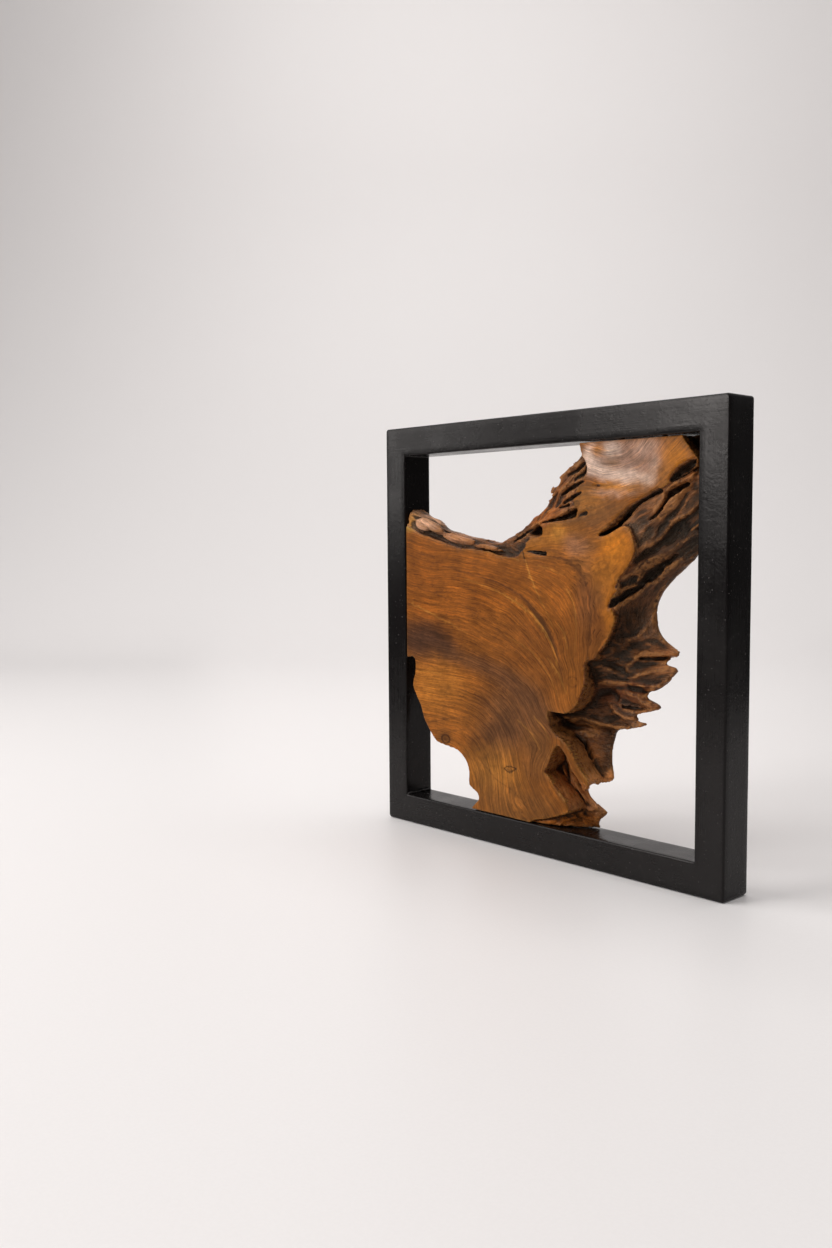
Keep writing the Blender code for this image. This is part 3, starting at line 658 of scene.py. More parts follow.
def sculpt_root(node):
    """The finished volume, its grid and the maps that colour it."""
    distance, grid = cad_level_set(node)
    x, z = grid.plane()
    front, found = front_depth(distance, grid)
    on_face = np.abs(front - FACE_Y) < FACE_TOLERANCE
    on_crown = (np.abs(front - crown_plane(x, z)) < CROWN_TOLERANCE) & (z > CROWN_LOW) & (x > CROWN_LEFT)
    sanded = blur((found & (on_face | on_crown)).astype(np.float32), 0.8)

    natural_flow = NATURAL_GRAIN(x, z)
    grain = np.where(sanded > 0.5, SANDED_GRAIN(x, z), natural_flow)

    # how much the weathered relief counts in each cell near the surface
    behind = grid.y[None, :, None] - front[:, None, :]
    free = 1.0 - sanded[:, None, :] * (1.0 - ramp(behind, 0.6, 4.0))
    free = free * (1.0 - ramp(grid.y, BACK_Y - 3.0, BACK_Y - 0.5)[None, :, None])
    soft = blur(distance, SMOOTHING / VOXEL)
    distance = distance + (soft - distance) * free

    distance = with_bark_lumps(distance, grid)

    # ledges, crests and hollows of the natural front
    tall = blur((found & (sanded < 0.5)).astype(np.float32), 1.2) * found
    heights = sculpted_heights(x, z) * tall * ramp(1.0 - sanded, 0.3, 0.9)
    distance = raise_front(distance, grid, front, np.maximum(heights, 0.0))
    distance = carve(distance, grid, front, np.maximum(-heights, 0.0))
    distance = distance + (blur(distance, 0.8) - distance) * free

    # the weathered relief, only where it can move the surface
    cells = np.nonzero((np.abs(distance) < DETAIL_BAND) & (free > 0.02))
    cx, cy, cz = grid.x[cells[0]], grid.y[cells[1]], grid.z[cells[2]]
    flow = natural_flow[cells[0], cells[2]]
    amount = relief_amount(x, z)[cells[0], cells[2]]
    relief = amount * natural_relief(cx, cy, cz, flow, along_natural(cx, cz))
    relief_field = np.zeros_like(distance)
    relief_field[cells] = relief
    distance[cells] -= relief * free[cells]

    # slight waves that sanding leaves in the flat wood
    waves = 0.28 * flat_noise(x, z, 46, 21)
    waves += 0.10 * gradient_noise(grain / 7, along_sanded(x, z) / 60, x * 0, 22)
    waves = (SANDING + waves) * sanded
    furrows = furrow_depths(x, z) * (1.0 + 0.3 * flat_noise(x, z, 5, 23))
    cracks = np.zeros(x.shape, np.float32)
    for crack in CRACKS:
        away, _ = near_curve(x, z, smooth_curve(crack))
        cracks = np.maximum(cracks, CRACK_DEPTH * (1.0 - ramp(away, 0.3, 1.1)))
    distance = carve(distance, grid, front, np.maximum(waves + cracks * sanded, furrows))

    distance = within_limits(distance, grid)
    maps = {"sanded": sanded, "front": front, "furrows": furrows}
    return distance.astype(np.float32), grid, maps, relief_field


def polygons_of(distance, grid):
    """Surface of the volume as corner places, and faces of 3 or 4 corners."""
    volume = vdb.FloatGrid(float(distance.max()))
    volume.copyFromArray(distance, ijk=tuple(int(v) for v in grid.low))
    volume.transform = vdb.createLinearTransform(voxelSize=VOXEL)
    points, triangles, quads = volume.convertToPolygons(isovalue=0.0, adaptivity=ADAPTIVITY)
    return points, triangles.astype(int), quads.astype(int)


def largest_islands(count, triangles, quads):
    """True for the points that belong to an island of a fair size."""
    edges = [triangles[:, [0, 1]], triangles[:, [1, 2]]]
    edges += [quads[:, [0, 1]], quads[:, [1, 2]], quads[:, [2, 3]]]
    edges = np.vstack(edges)
    label = np.arange(count)
    while True:
        lowest = np.minimum(label[edges[:, 0]], label[edges[:, 1]])
        before = label.copy()
        np.minimum.at(label, edges[:, 0], lowest)
        np.minimum.at(label, edges[:, 1], lowest)
        label = label[label]
        if (label == before).all():
            break
    sizes = np.bincount(label, minlength=count)
    return sizes[label] >= SMALLEST_ISLAND


def mesh_from_polygons(name, points, triangles, quads):
    keep = largest_islands(len(points), triangles, quads)
    triangles = triangles[keep[triangles].all(axis=1)]
    quads = quads[keep[quads].all(axis=1)]
    number = np.cumsum(keep) - 1
    faces = [tuple(f) for f in number[triangles].tolist()]
    faces += [tuple(f) for f in number[quads].tolist()]
    mesh = bpy.data.meshes.new(name)
    mesh.from_pydata(points[keep].tolist(), [], faces)
    bm = bmesh.new()
    bm.from_mesh(mesh)
    if bm.calc_volume(signed=True) < 0:
        bmesh.ops.reverse_faces(bm, faces=bm.faces)
    long_edges = [e for e in bm.edges if e.calc_length() > LONGEST_EDGE]
    bmesh.ops.subdivide_edges(bm, edges=long_edges, cuts=1, use_grid_fill=True)
    bmesh.ops.triangulate(bm, faces=[f for f in bm.faces if len(f.verts) > 4])
    bm.to_mesh(mesh)
    bm.free()
    return mesh


def triples(things, field, kind=np.float32):
    """Three numbers for each of a mesh's points, triangles or attribute values."""
    values = np.empty(len(things) * 3, kind)
    things.foreach_get(field, values)
    return values.reshape(-1, 3)


def mesh_from(bm, name):
    mesh = bpy.data.meshes.new(name)
    bm.to_mesh(mesh)
    bm.free()
    return mesh


def add_object(name, data):
    obj = bpy.data.objects.new(name, data)
    bpy.context.collection.objects.link(obj)
    return obj


def store(mesh, name, values):
    """Keep one number, three numbers or a colour at every point of a mesh."""
    values = np.asarray(values, np.float32)
    kinds = {1: ("FLOAT", "value"), 3: ("FLOAT_VECTOR", "vector"), 4: ("FLOAT_COLOR", "color")}
    kind, field = kinds[1 if values.ndim == 1 else values.shape[1]]
    attribute = mesh.attributes.new(name, kind, "POINT")
    attribute.data.foreach_set(field, values.ravel())


# ---- The root's colours ----
def linear(red, green, blue):
    """A colour given as 0 to 255 screen values, for shaders."""
    return tuple(
        (c / 255 / 12.92) if c <= 10 else ((c / 255 + 0.055) / 1.055) ** 2.4
        for c in (red, green, blue)
    )


SANDED_TONE = (140, 84, 38)
NATURAL_TONE = (82, 56, 38)
SAWN_TONE = (132, 90, 56)

# Soft patches of colour on the sanded wood, some of them a painted reflection: x, z, radius along X and Z,
# colour, strength
SANDED_PATCHES = [
    (-150, 250, 60, 60, (136, 78, 28), 0.9),
    (-60, 245, 60, 30, (142, 82, 30), 0.9),
    (20, 235, 32, 34, (158, 94, 40), 0.95),
    (10, 184, 50, 34, (134, 80, 40), 0.8),
    (45, 168, 16, 28, (146, 90, 44), 0.6),
    (-156, 188, 30, 19, (78, 50, 46), 1.0),
    (-134, 187, 24, 17, (72, 46, 42), 1.0),
    (-114, 181, 18, 13, (72, 46, 42), 1.0),
    (-20, 142, 38, 24, (112, 71, 47), 0.9),
    (-24, 120, 44, 26, (104, 69, 56), 0.9),
    (-125, 142, 36, 26, (174, 112, 56), 0.9),
    (-100, 115, 36, 14, (158, 98, 48), 0.7),
    (-120, 93, 12, 8, (112, 72, 44), 0.5),
    (-46, 101, 26, 16, (98, 64, 52), 0.75),
    (-50, 68, 38, 24, (158, 108, 62), 0.75),
    (-30, 40, 46, 18, (130, 86, 54), 0.85),
    (8, 44, 20, 14, (118, 76, 46), 0.8),
    (4, 92, 18, 26, (118, 78, 54), 0.75),
    (20, 292, 34, 12, (158, 102, 50), 0.85),
    (-10, 281, 26, 9, (156, 100, 48), 0.7),
    (28, 293, 8, 7, (196, 136, 70), 0.7),
    (60, 240, 10, 36, (128, 80, 56), 0.85),
    (62, 272, 16, 16, (142, 92, 58), 0.8),
    (48, 283, 14, 7, (156, 112, 110), 0.7),
    (90, 279, 18, 20, (186, 115, 38), 1.0),
    (80, 258, 12, 16, (158, 100, 44), 0.9),
    (85, 230, 8, 22, (172, 106, 40), 0.9),
    (74, 238, 8, 14, (118, 76, 50), 0.7),
    (72, 205, 10, 22, (122, 72, 40), 0.7),
    (78, 192, 8, 14, (146, 90, 50), 0.6),
    (38, 317, 26, 16, (128, 84, 50), 0.9),
    (70, 312, 36, 14, (120, 78, 50), 0.9),
    (60, 322, 16, 10, (160, 106, 58), 0.6),
    (68, 302, 8, 6, (118, 76, 52), 0.5),
    (122, 332, 26, 8, (146, 92, 48), 0.8),
    # From here to the next comment, the pale lilac and white patches of the crown are a painted reflection
    # of the light in its varnish; the orange and darker rows among them are the wood's own colour.
    (100, 355, 38, 16, (160, 130, 152), 0.95),
    (94, 333, 22, 4, (176, 118, 64), 0.85),
    (88, 327, 22, 2.5, (186, 148, 162), 0.7),
    (62, 358, 9, 11, (218, 196, 236), 0.9),
    (83, 364, 8, 6, (218, 196, 236), 0.9),
    (72, 348, 11, 6, (222, 200, 242), 0.95),
    (90, 342, 15, 4.5, (220, 198, 238), 0.95),
    (106, 339, 12, 4.5, (216, 192, 230), 0.95),
    (121, 337, 8, 6, (208, 184, 218), 0.8),
    (127, 346, 4, 8, (200, 176, 208), 0.6),
    (98, 358, 12, 3, (120, 90, 96), 0.7),
    (112, 353, 13, 3, (120, 90, 94), 0.7),
    (84, 353, 9, 3.5, (128, 92, 76), 0.7),
    (120, 365, 12, 6, (176, 148, 172), 0.6),
    # The wood's own colours again.
    (70, 363, 6, 5, (176, 114, 56), 0.9),
    (146, 354, 13, 15, (184, 116, 46), 1.0),
    (138, 340, 12, 7, (150, 96, 52), 0.8),
]

NATURAL_PATCHES = [
    (-150, 306, 30, 10, (206, 182, 184), 0.95),
    (-104, 291, 22, 7, (182, 148, 138), 0.9),
    (-70, 285, 26, 6, (148, 108, 82), 0.9),
    (-45, 282, 25, 6, (130, 92, 62), 0.9),
    (10, 310, 26, 14, (150, 98, 50), 0.9),
    (30, 335, 16, 18, (118, 78, 46), 0.85),
    (46, 348, 10, 12, (92, 62, 42), 0.8),
    (112, 290, 12, 16, (156, 126, 112), 0.95),
    (122, 306, 16, 14, (112, 78, 54), 0.85),
    (140, 320, 16, 12, (140, 108, 86), 0.9),
    (157, 338, 12, 14, (124, 84, 54), 0.8),
    # The next two dark patches paint the shadow under the flank's overhanging ledge.
    (150, 290, 32, 16, (50, 33, 24), 0.95),
    (135, 272, 34, 12, (62, 42, 32), 0.85),
    (110, 260, 16, 14, (70, 48, 35), 0.85),
    (122, 246, 26, 20, (68, 46, 35), 0.95),
    (96, 222, 20, 20, (78, 55, 42), 0.85),
    (114, 212, 12, 12, (96, 72, 60), 0.7),
    (120, 190, 24, 12, (100, 66, 38), 0.85),
    (136, 192, 10, 6, (150, 100, 58), 0.6),
    (130, 178, 14, 8, (140, 104, 80), 0.7),
    (84, 185, 20, 12, (68, 46, 28), 0.8),
    (110, 158, 24, 10, (94, 56, 32), 0.85),
    (122, 147, 8, 4, (120, 72, 44), 0.6),
    (112, 137, 14, 5, (128, 90, 62), 0.7),
    (70, 152, 26, 12, (78, 48, 34), 0.85),
    (45, 124, 30, 8, (66, 44, 30), 0.9),
    (62, 100, 18, 22, (52, 35, 27), 0.95),
    (46, 112, 16, 8, (84, 54, 36), 0.85),
    (48, 92, 8, 14, (170, 118, 74), 0.5),
    (62, 77, 15, 6, (206, 156, 116), 0.9),
    # The next two pale patches are painted light in the deep pocket, lifting the shade of its hollow.
    (28, 78, 14, 20, (150, 94, 56), 0.9),
    (40, 58, 14, 16, (160, 110, 76), 0.9),
    (52, 46, 14, 8, (150, 116, 96), 0.8),
    (26, 36, 34, 6, (176, 116, 52), 0.9),
]

# Hollows given painted light, which takes back some of the painted shade that their curvature gives them:
# x, z, radii and amount
LIT_HOLLOWS = [
    (34, 64, 20, 28, 0.55),
    (112, 238, 18, 14, 0.25),
]

# Faces given painted shade beyond what their curvature gives them
SHADED_FACES = [
    (68, 100, 15, 24, 0.6),
    (150, 288, 26, 14, 0.45),
]

# Natural zones with pale specks, painted glints of the varnish
SPECKLED_ZONES = [
    (62, 98, 18, 18, 1.0),
    (116, 212, 14, 16, 0.8),
    (112, 288, 10, 14, 1.0),
    (130, 176, 14, 8, 0.7),
    (60, 48, 12, 8, 0.8),
    (46, 345, 16, 14, 0.5),
    (-150, 304, 20, 8, 0.4),
]

# Sanded zones whose figure is a plain mottle instead of lines
PLAIN_ZONES = [
    (90, 279, 20, 22, 0.85),
    (80, 256, 14, 20, 0.8),
    (84, 228, 10, 26, 0.7),
    (70, 312, 44, 18, 0.6),
    (125, 345, 30, 18, 0.6),
    (20, 292, 36, 12, 0.7),
]

# The bright, broken corner of the bark at the left stile: centre, radii and colour
BROKEN_CORNER = ((-166, 306), 6.0, 9.0, (176, 140, 84))


def patch_tone(x, z, base, patches):
    """Colours from soft patches laid over a base tone, with wandering edges."""
    tone = np.tile(np.float32(linear(*base)), (len(x), 1))
    wander_x = 4.0 * flat_noise(x, z, 20, 31) + 2.0 * flat_noise(x, z, 6, 33)
    wander_z = 3.0 * flat_noise(x, z, 20, 32) + 1.6 * flat_noise(x, z, 6, 34)
    for *patch, colour, strength in patches:
        squared = oval(x + wander_x, z + wander_z, *patch)
        share = (strength * np.exp(-0.8 * squared ** 1.5))[:, None]
        tone = tone * (1 - share) + np.float32(linear(*colour)) * share
    return tone


def zone_amount(x, z, zones):
    """The strongest of several soft oval zones at each place."""
    amount = np.zeros(len(x), np.float32)
    for *zone, value in zones:
        amount = np.maximum(amount, value * np.exp(-oval(x, z, *zone) ** 1.5))
    return amount


def knot_darkness(x, z):
    """A dark heart and a thin dark rim for each knot."""
    darkness = np.zeros(len(x), np.float32)
    for (kx, kz), rx, rz, value in KNOTS:
        away = np.hypot((x - kx) / rx, (z - kz) / rz)
        rim = np.exp(-((away - 1.0) / 0.22) ** 2)
        darkness = np.maximum(darkness, value * np.maximum(rim, 0.8 * np.exp(-(away / 0.5) ** 2)))
    return darkness


def lines_mask(x, z, lines, core=0.3):
    """Each line's strength on the line itself, fading to 0 at its half width and a little beyond."""
    mask = np.zeros(len(x), np.float32)
    x = x + flat_noise(x, z, 6, 35)
    z = z + flat_noise(x, z, 6, 36)
    for near, away, (width, strength) in near_lines(x, z, lines, 1.2):
        mask[near] = np.maximum(mask[near], strength * (1.0 - ramp(away / width, core, 1.3)))
    return mask


def mixed(tone, colour, share):
    """A tone moved towards a colour given as 0..255."""
    share = np.asarray(share)[:, None]
    return tone * (1 - share) + np.float32(linear(*colour)) * share


def drawn_lines():
    """Every line and knot drawn on the sanded face, as curves of (x, z)."""
    lines = [smooth_curve(line)[:, :2] for line in PALE_LINES + DARK_RINGS + CRACKS]
    for (kx, kz), rx, rz, _ in KNOTS:
        turns = np.linspace(0.0, 2 * math.pi, 13)
        lines.append(np.column_stack((kx + rx * np.cos(turns), kz + rz * np.sin(turns))))
    return lines


def refine_near_lines(mesh):
    """Smaller faces along the drawn lines, which would be lost on the large flat faces."""
    bm = bmesh.new()
    bm.from_mesh(mesh)
    for reach in (3.0, 2.0):
        edges = [e for e in bm.edges if e.calc_length() > LINE_EDGE and e.verts[0].co.y < FACE_Y + 1.5]
        middles = np.array([((e.verts[0].co + e.verts[1].co) / 2)[:] for e in edges])
        close = np.zeros(len(edges), bool)
        for curve in drawn_lines():
            rough = near_box(middles[:, 0], middles[:, 2], curve, reach) & ~close
            away, _ = near_curve(middles[rough, 0], middles[rough, 2], curve)
            close[np.nonzero(rough)[0][away < reach]] = True
        chosen = [e for e, near in zip(edges, close) if near]
        bmesh.ops.subdivide_edges(bm, edges=chosen, cuts=1, use_grid_fill=True)
        bmesh.ops.triangulate(bm, faces=[f for f in bm.faces if len(f.verts) > 4])
    bm.to_mesh(mesh)
    bm.free()


def colour_root(mesh, grid, maps, relief_field, distance):
    """Store what the wood's material needs at every point of the root."""
    x, y, z = triples(mesh.vertices, "co").T
    sanded = grid.flat_sample(maps["sanded"], x, z)
    front = grid.flat_sample(maps["front"], x, z)
    sanded = sanded * (1.0 - ramp(y - front, 0.9, 2.2))
    relief = grid.sample(relief_field, x, y, z)
    roundness = grid.sample(blur(distance, ROUNDNESS_BLUR), x, y, z)
    # roundness drives painted light on the crests and painted shade in the hollows of the natural wood;
    # these zones add more painted light and painted shade to it
    roundness += zone_amount(x, z, LIT_HOLLOWS) - zone_amount(x, z, SHADED_FACES)
    furrows = grid.flat_sample(maps["furrows"], x, z)
    # painted shade on the floor of the deeper furrows, growing with their depth
    furrow_shade = ramp(furrows, 0.6, 3.5) * ramp(y - front, 0.5, 4.0)

    share = sanded[:, None]
    tone = patch_tone(x, z, SANDED_TONE, SANDED_PATCHES) * share
    tone += patch_tone(x, z, NATURAL_TONE, NATURAL_PATCHES) * (1 - share)
    (cx, cz), rx, rz, colour = BROKEN_CORNER
    corner = np.exp(-(((x - cx) / rx) ** 4 + ((z - cz) / rz) ** 4))[:, None]
    tone = tone * (1 - corner) + np.array(linear(*colour)) * corner
    tone = mixed(tone, PLUM_TONE, 0.85 * lines_mask(x, z, PLUM_BANDS, core=0.1) * sanded)
    tone = mixed(tone, DARK_RING_TONE, 0.75 * lines_mask(x, z, DARK_RINGS) * sanded)
    tone = mixed(tone, PALE_LINE_TONE, 0.5 * lines_mask(x, z, PALE_LINES) * sanded)
    thin_cracks = [[(cx, cz, 0.8, 1.0) for cx, cz in crack] for crack in CRACKS]
    cracks = lines_mask(x, z, thin_cracks) * sanded
    knots = knot_darkness(x, z) * sanded
    # cracks and knots are the wood's own dark marks; the furrow term is painted shade
    darkness = 1.0 - 0.8 * cracks - 0.5 * furrow_shade - knots
    tone = tone * np.clip(darkness, 0.12, 1.0)[:, None]

    # the sawn back
    sawn = ramp(y, BACK_Y - 1.2, BACK_Y - 0.5)
    tone = mixed(tone, SAWN_TONE, sawn)
    figured = np.maximum(sanded, sawn)

    special = np.where(figured > 0.5, zone_amount(x, z, PLAIN_ZONES), zone_amount(x, z, SPECKLED_ZONES))
    store(mesh, "sanded_grain", np.column_stack((SANDED_GRAIN(x, z), along_sanded(x, z), y)))
    store(mesh, "natural_grain", np.column_stack((NATURAL_GRAIN(x, z), along_natural(x, z), y)))
    store(mesh, "tone", np.column_stack((tone, special)))
    store(mesh, "surface", np.column_stack((1.0 - figured, relief, roundness)))


# ---- Shader nodes ----
def add_node(tree, kind, inputs=None, **settings):
    """A new node; its inputs are numbers, vectors, colours or other nodes' outputs."""
    node = tree.nodes.new("ShaderNode" + kind)
    for name, value in settings.items():
        setattr(node, name, value)
    fill_inputs(tree, node, inputs or {})
    return node


def fill_inputs(tree, node, inputs):
    for name, value in inputs.items():
        socket = node.inputs[name]
        if isinstance(value, bpy.types.NodeSocket):
            tree.links.new(value, socket)
        elif socket.type == "RGBA":
            socket.default_value = (*value, 1.0)
        else:
            socket.default_value = value


class Nodes:
    """One material and short ways to add nodes to it."""

    def __init__(self, name):
        self.material = bpy.data.materials.new(name)
        self.material.use_nodes = True
        self.tree = self.material.node_tree

    def add(self, kind, inputs=None, **settings):
        return add_node(self.tree, kind, inputs, **settings)

    def attribute(self, name):
        return self.add("Attribute", attribute_name=name).outputs

    def parts(self, vector):
        return self.add("SeparateXYZ", {0: vector}).outputs

    def join(self, x, y, z):
        return self.add("CombineXYZ", {0: x, 1: y, 2: z}).outputs[0]

    def stretch(self, vector, factors, offset=(0.0, 0.0, 0.0)):
        inputs = {0: vector, 1: factors, 2: offset}
        return self.add("VectorMath", inputs, operation="MULTIPLY_ADD").outputs[0]

    def place(self):
        """Place on the object in millimetres."""
        return self.stretch(self.add("TexCoord").outputs["Object"], (1 / MM, 1 / MM, 1 / MM))

    def math(self, operation, *values):
        """The operation on the first two values, then on its result and the third, and so on."""
        total = values[0]
        for value in values[1:] or (0.0,):
            total = self.add("Math", {0: total, 1: value}, operation=operation).outputs[0]
        return total

    def times(self, *values):
        return self.math("MULTIPLY", *values)

    def plus(self, *values):
        return self.math("ADD", *values)

    def less(self, first, second):
        return self.math("SUBTRACT", first, second)

    def thin_line(self, noise, middle, half_width):
        """1 where the noise is at its middle value, falling to 0 on both sides."""
        return self.span(self.math("ABSOLUTE", self.less(noise, middle)), 0.0, half_width, 1.0, 0.0)

    def noise(self, vector, size, offset=(0.0, 0.0, 0.0), detail=2.0, roughness=0.5):
        """Noise whose bumps have this size, or these sizes along X, Y and Z."""
        sizes = size if isinstance(size, tuple) else (size, size, size)
        vector = self.stretch(vector, tuple(1 / length for length in sizes), offset)
        inputs = {"Vector": vector, "Scale": 1.0, "Detail": detail, "Roughness": roughness}
        return self.add("TexNoise", inputs).outputs["Fac"]

    def span(self, value, low, high, to_low=0.0, to_high=1.0):
        """Maps low..high to to_low..to_high, held at both ends."""
        inputs = {"Value": value, "From Min": low, "From Max": high, "To Min": to_low, "To Max": to_high}
        return self.add("MapRange", inputs, interpolation_type="SMOOTHSTEP").outputs["Result"]

    def mix(self, share, first, second, blend="MIX"):
        inputs = {0: share, 6: first, 7: second}
        return self.add("Mix", inputs, data_type="RGBA", blend_type=blend).outputs[2]

    def shade(self, colour, value):
        """Colour multiplied by a grey value."""
        return self.add("VectorMath", {0: colour, "Scale": value}, operation="SCALE").outputs[0]

    def bump(self, height, distance, strength=1.0, below=None):
        inputs = {"Strength": strength, "Distance": distance * MM, "Height": height}
        if below is not None:
            inputs["Normal"] = below
        return self.add("Bump", inputs).outputs["Normal"]

    def finish(self, colour, roughness, normal, metallic=0.0, specular=0.5, tint=(1.0, 1.0, 1.0)):
        fill_inputs(self.tree, self.tree.nodes["Principled BSDF"], {
            "Base Color": colour, "Roughness": roughness, "Normal": normal, "Metallic": metallic,
            "Specular IOR Level": specular, "Specular Tint": tint,
        })
        return self.material


# The amber varnish darkens the wood and takes some of its blue away
SANDED_STAIN = (0.83, 0.76, 0.40)
NATURAL_STAIN = (0.60, 0.43, 0.25)
VARNISH_GLOSS_TINT = (1.0, 0.82, 0.64)


def teak_material(name, grain_attribute, stain, specular):
    """Varnished teak; the mesh says where it is natural, and special marks plain zones or zones of painted
    glints.
    """
    n = Nodes(name)
    place = n.place()
    grain = n.attribute(grain_attribute)["Vector"]
    tone_values = n.attribute("tone")
    tone, special = tone_values["Color"], tone_values["Alpha"]
    natural, relief, roundness = n.parts(n.attribute("surface")["Vector"])

    # the grain wanders a little, so that no two streaks are alike
    across, along, depth = n.parts(grain)
    wander = n.times(n.less(n.noise(place, 12.0), 0.5), 3.0)
    fibre_place = n.join(n.plus(across, wander), along, depth)

    bands = n.noise(fibre_place, (5.5, 130.0, 30.0), detail=3.0, roughness=0.6)
    rings = n.noise(fibre_place, (2.6, 240.0, 60.0), (9.0, 2.0, 5.0), detail=1.0)
    bright = n.noise(fibre_place, (4.4, 150.0, 60.0), (4.0, 1.0, 8.0), detail=1.0)
    streaks = n.noise(fibre_place, (1.3, 30.0, 1.8), detail=4.0, roughness=0.65)
    strands = n.noise(fibre_place, (2.8, 45.0, 3.2), (2.0, 5.0, 9.0))
    fibres = n.noise(fibre_place, (0.55, 10.0, 0.8))
    pores = n.noise(fibre_place, (0.45, 3.4, 2.0), (3.1, 7.7, 1.3), detail=1.0)
    clouds = n.noise(place, 24.0, detail=4.0, roughness=0.6)
    mottle = n.noise(place, 4.5, detail=4.0, roughness=0.7)
    specks = n.noise(place, 0.7, detail=1.0)

    # sanded wood: growth bands, thin dark and bright ring lines, streaks and dark pores
    ring_line = n.times(n.thin_line(rings, 0.5, 0.035), n.span(mottle, 0.35, 0.6))
    bright_line = n.times(n.thin_line(bright, 0.52, 0.022), n.span(clouds, 0.48, 0.62))
    dark_pores = n.span(pores, 0.60, 0.70)
    figure = n.times(
        n.span(bands, 0.32, 0.68, 0.88, 1.10), n.span(clouds, 0.32, 0.68, 0.78, 1.20),
        n.span(streaks, 0.36, 0.64, 0.72, 1.22), n.span(fibres, 0.3, 0.7, 0.80, 1.17),
        n.less(1.0, n.times(ring_line, 0.28)), n.plus(1.0, n.times(bright_line, 0.35)),
        n.less(1.0, n.times(dark_pores, 0.42)),
    )
    plain_figure = n.times(n.span(mottle, 0.3, 0.7, 0.76, 1.20), n.span(streaks, 0.3, 0.7, 0.90, 1.09))
    plain = n.times(special, n.less(1.0, natural))
    figure = n.plus(n.times(figure, n.less(1.0, plain)), n.times(plain_figure, plain))
    sanded_colour = n.shade(tone, n.times(figure, n.span(mottle, 0.3, 0.7, 0.90, 1.10)))
    warm = n.mix(n.span(streaks, 0.5, 0.72), (1.0, 1.0, 1.0), (1.14, 1.04, 0.86))
    sanded_colour = n.mix(1.0, sanded_colour, warm, "MULTIPLY")

    # weathered wood: painted light on the crests and painted shade in the hollows, darker where the relief
    # lies low, fine striation, a grey bloom, painted glints and painted highlights on the rims
    crest = n.span(roundness, -0.42, 0.55)
    natural_colour = n.shade(tone, n.times(
        n.span(crest, 0.0, 1.0, 0.22, 1.7), n.span(relief, -1.5, 1.6, 0.8, 1.2),
        n.span(fibres, 0.3, 0.7, 0.72, 1.28), n.span(mottle, 0.3, 0.7, 0.80, 1.20),
        n.span(streaks, 0.3, 0.7, 0.70, 1.30), n.span(strands, 0.3, 0.7, 0.74, 1.26),
    ))
    bloom = n.times(n.span(clouds, 0.45, 0.7), n.span(specks, 0.45, 0.65), 0.16)
    # glints are painted glints of the varnish; the rims get painted highlights where the surface is
    # strongly convex
    glints = n.times(n.span(specks, 0.56, 0.68), special, 0.55)
    rim_highlights = n.times(n.span(roundness, 0.45, 0.95), n.span(mottle, 0.35, 0.6), 0.6)
    for share, shade in ((bloom, (160, 134, 114)), (glints, (176, 152, 134)), (rim_highlights, (214, 168, 124))):
        natural_colour = n.mix(share, natural_colour, linear(*shade))
    colour = n.mix(1.0, n.mix(natural, sanded_colour, natural_colour), stain, "MULTIPLY")

    roughness = n.plus(n.span(streaks, 0.3, 0.7, 0.34, 0.46), n.times(natural, -0.09))
    fine = n.bump(n.plus(fibres, n.times(dark_pores, -0.6)), 0.12, 0.35)
    coarse_height = n.plus(streaks, n.times(fibres, 0.5), n.times(mottle, 0.9))
    normal = n.bump(n.times(coarse_height, natural), 1.2, 0.9, below=fine)
    return n.finish(colour, roughness, normal, specular=specular, tint=VARNISH_GLOSS_TINT)


def paint_material():
    """Satin black paint, brushed along the bars, with dust and faint wood grain."""
    n = Nodes("satin_black_paint")
    place = n.place()
    run = n.attribute("run")["Vector"]
    brush = n.noise(run, (70.0, 0.9, 0.9), detail=3.0, roughness=0.6)
    peel = n.noise(place, 2.6)
    clouds = n.noise(place, 38.0, detail=3.0)
    dust = n.noise(place, 1.7, (5.0, 3.0, 1.0), detail=0.0)
    rubbed = n.noise(place, 9.0, detail=4.0, roughness=0.7)
    specks = n.span(dust, 0.79, 0.84)
    dull = n.times(n.span(clouds, 0.55, 0.75), n.span(rubbed, 0.5, 0.7))
    colour = n.mix(dull, (0.0042, 0.0034, 0.0034), (0.013, 0.0115, 0.011))
    colour = n.mix(n.times(specks, 0.5), colour, (0.10, 0.09, 0.085))
    roughness = n.plus(n.span(clouds, 0.3, 0.7, 0.15, 0.25), n.times(brush, 0.12))
    roughness = n.plus(roughness, n.times(specks, 0.25))
    fine = n.bump(n.plus(brush, n.times(specks, 0.6)), 0.10, 0.6)
    normal = n.bump(n.plus(peel, n.times(rubbed, 0.9)), 0.20, 0.5, below=fine)
    return n.finish(colour, roughness, normal, specular=0.2, tint=(1.0, 0.95, 0.93))


def filler_material():
    n = Nodes("painted_filler")
    grit = n.noise(n.place(), 0.8, detail=3.0)
    colour = n.mix(n.span(grit, 0.4, 0.7), (0.008, 0.007, 0.007), (0.020, 0.018, 0.017))
    return n.finish(colour, n.span(grit, 0.3, 0.7, 0.35, 0.55), n.bump(grit, 0.1, 0.4))


def dowel_material():
    n = Nodes("beech_dowel")
    place = n.place()
    grain = n.noise(place, (0.9, 0.9, 14.0), detail=3.0)
    flecks = n.noise(place, (0.5, 0.5, 2.5), detail=1.0)
    colour = n.mix(n.span(grain, 0.35, 0.65), linear(196, 156, 108), linear(222, 188, 144))
    colour = n.mix(n.span(flecks, 0.62, 0.72, 0.0, 0.6), colour, linear(150, 108, 70))
    return n.finish(colour, 0.6, n.bump(grain, 0.08, 0.5))


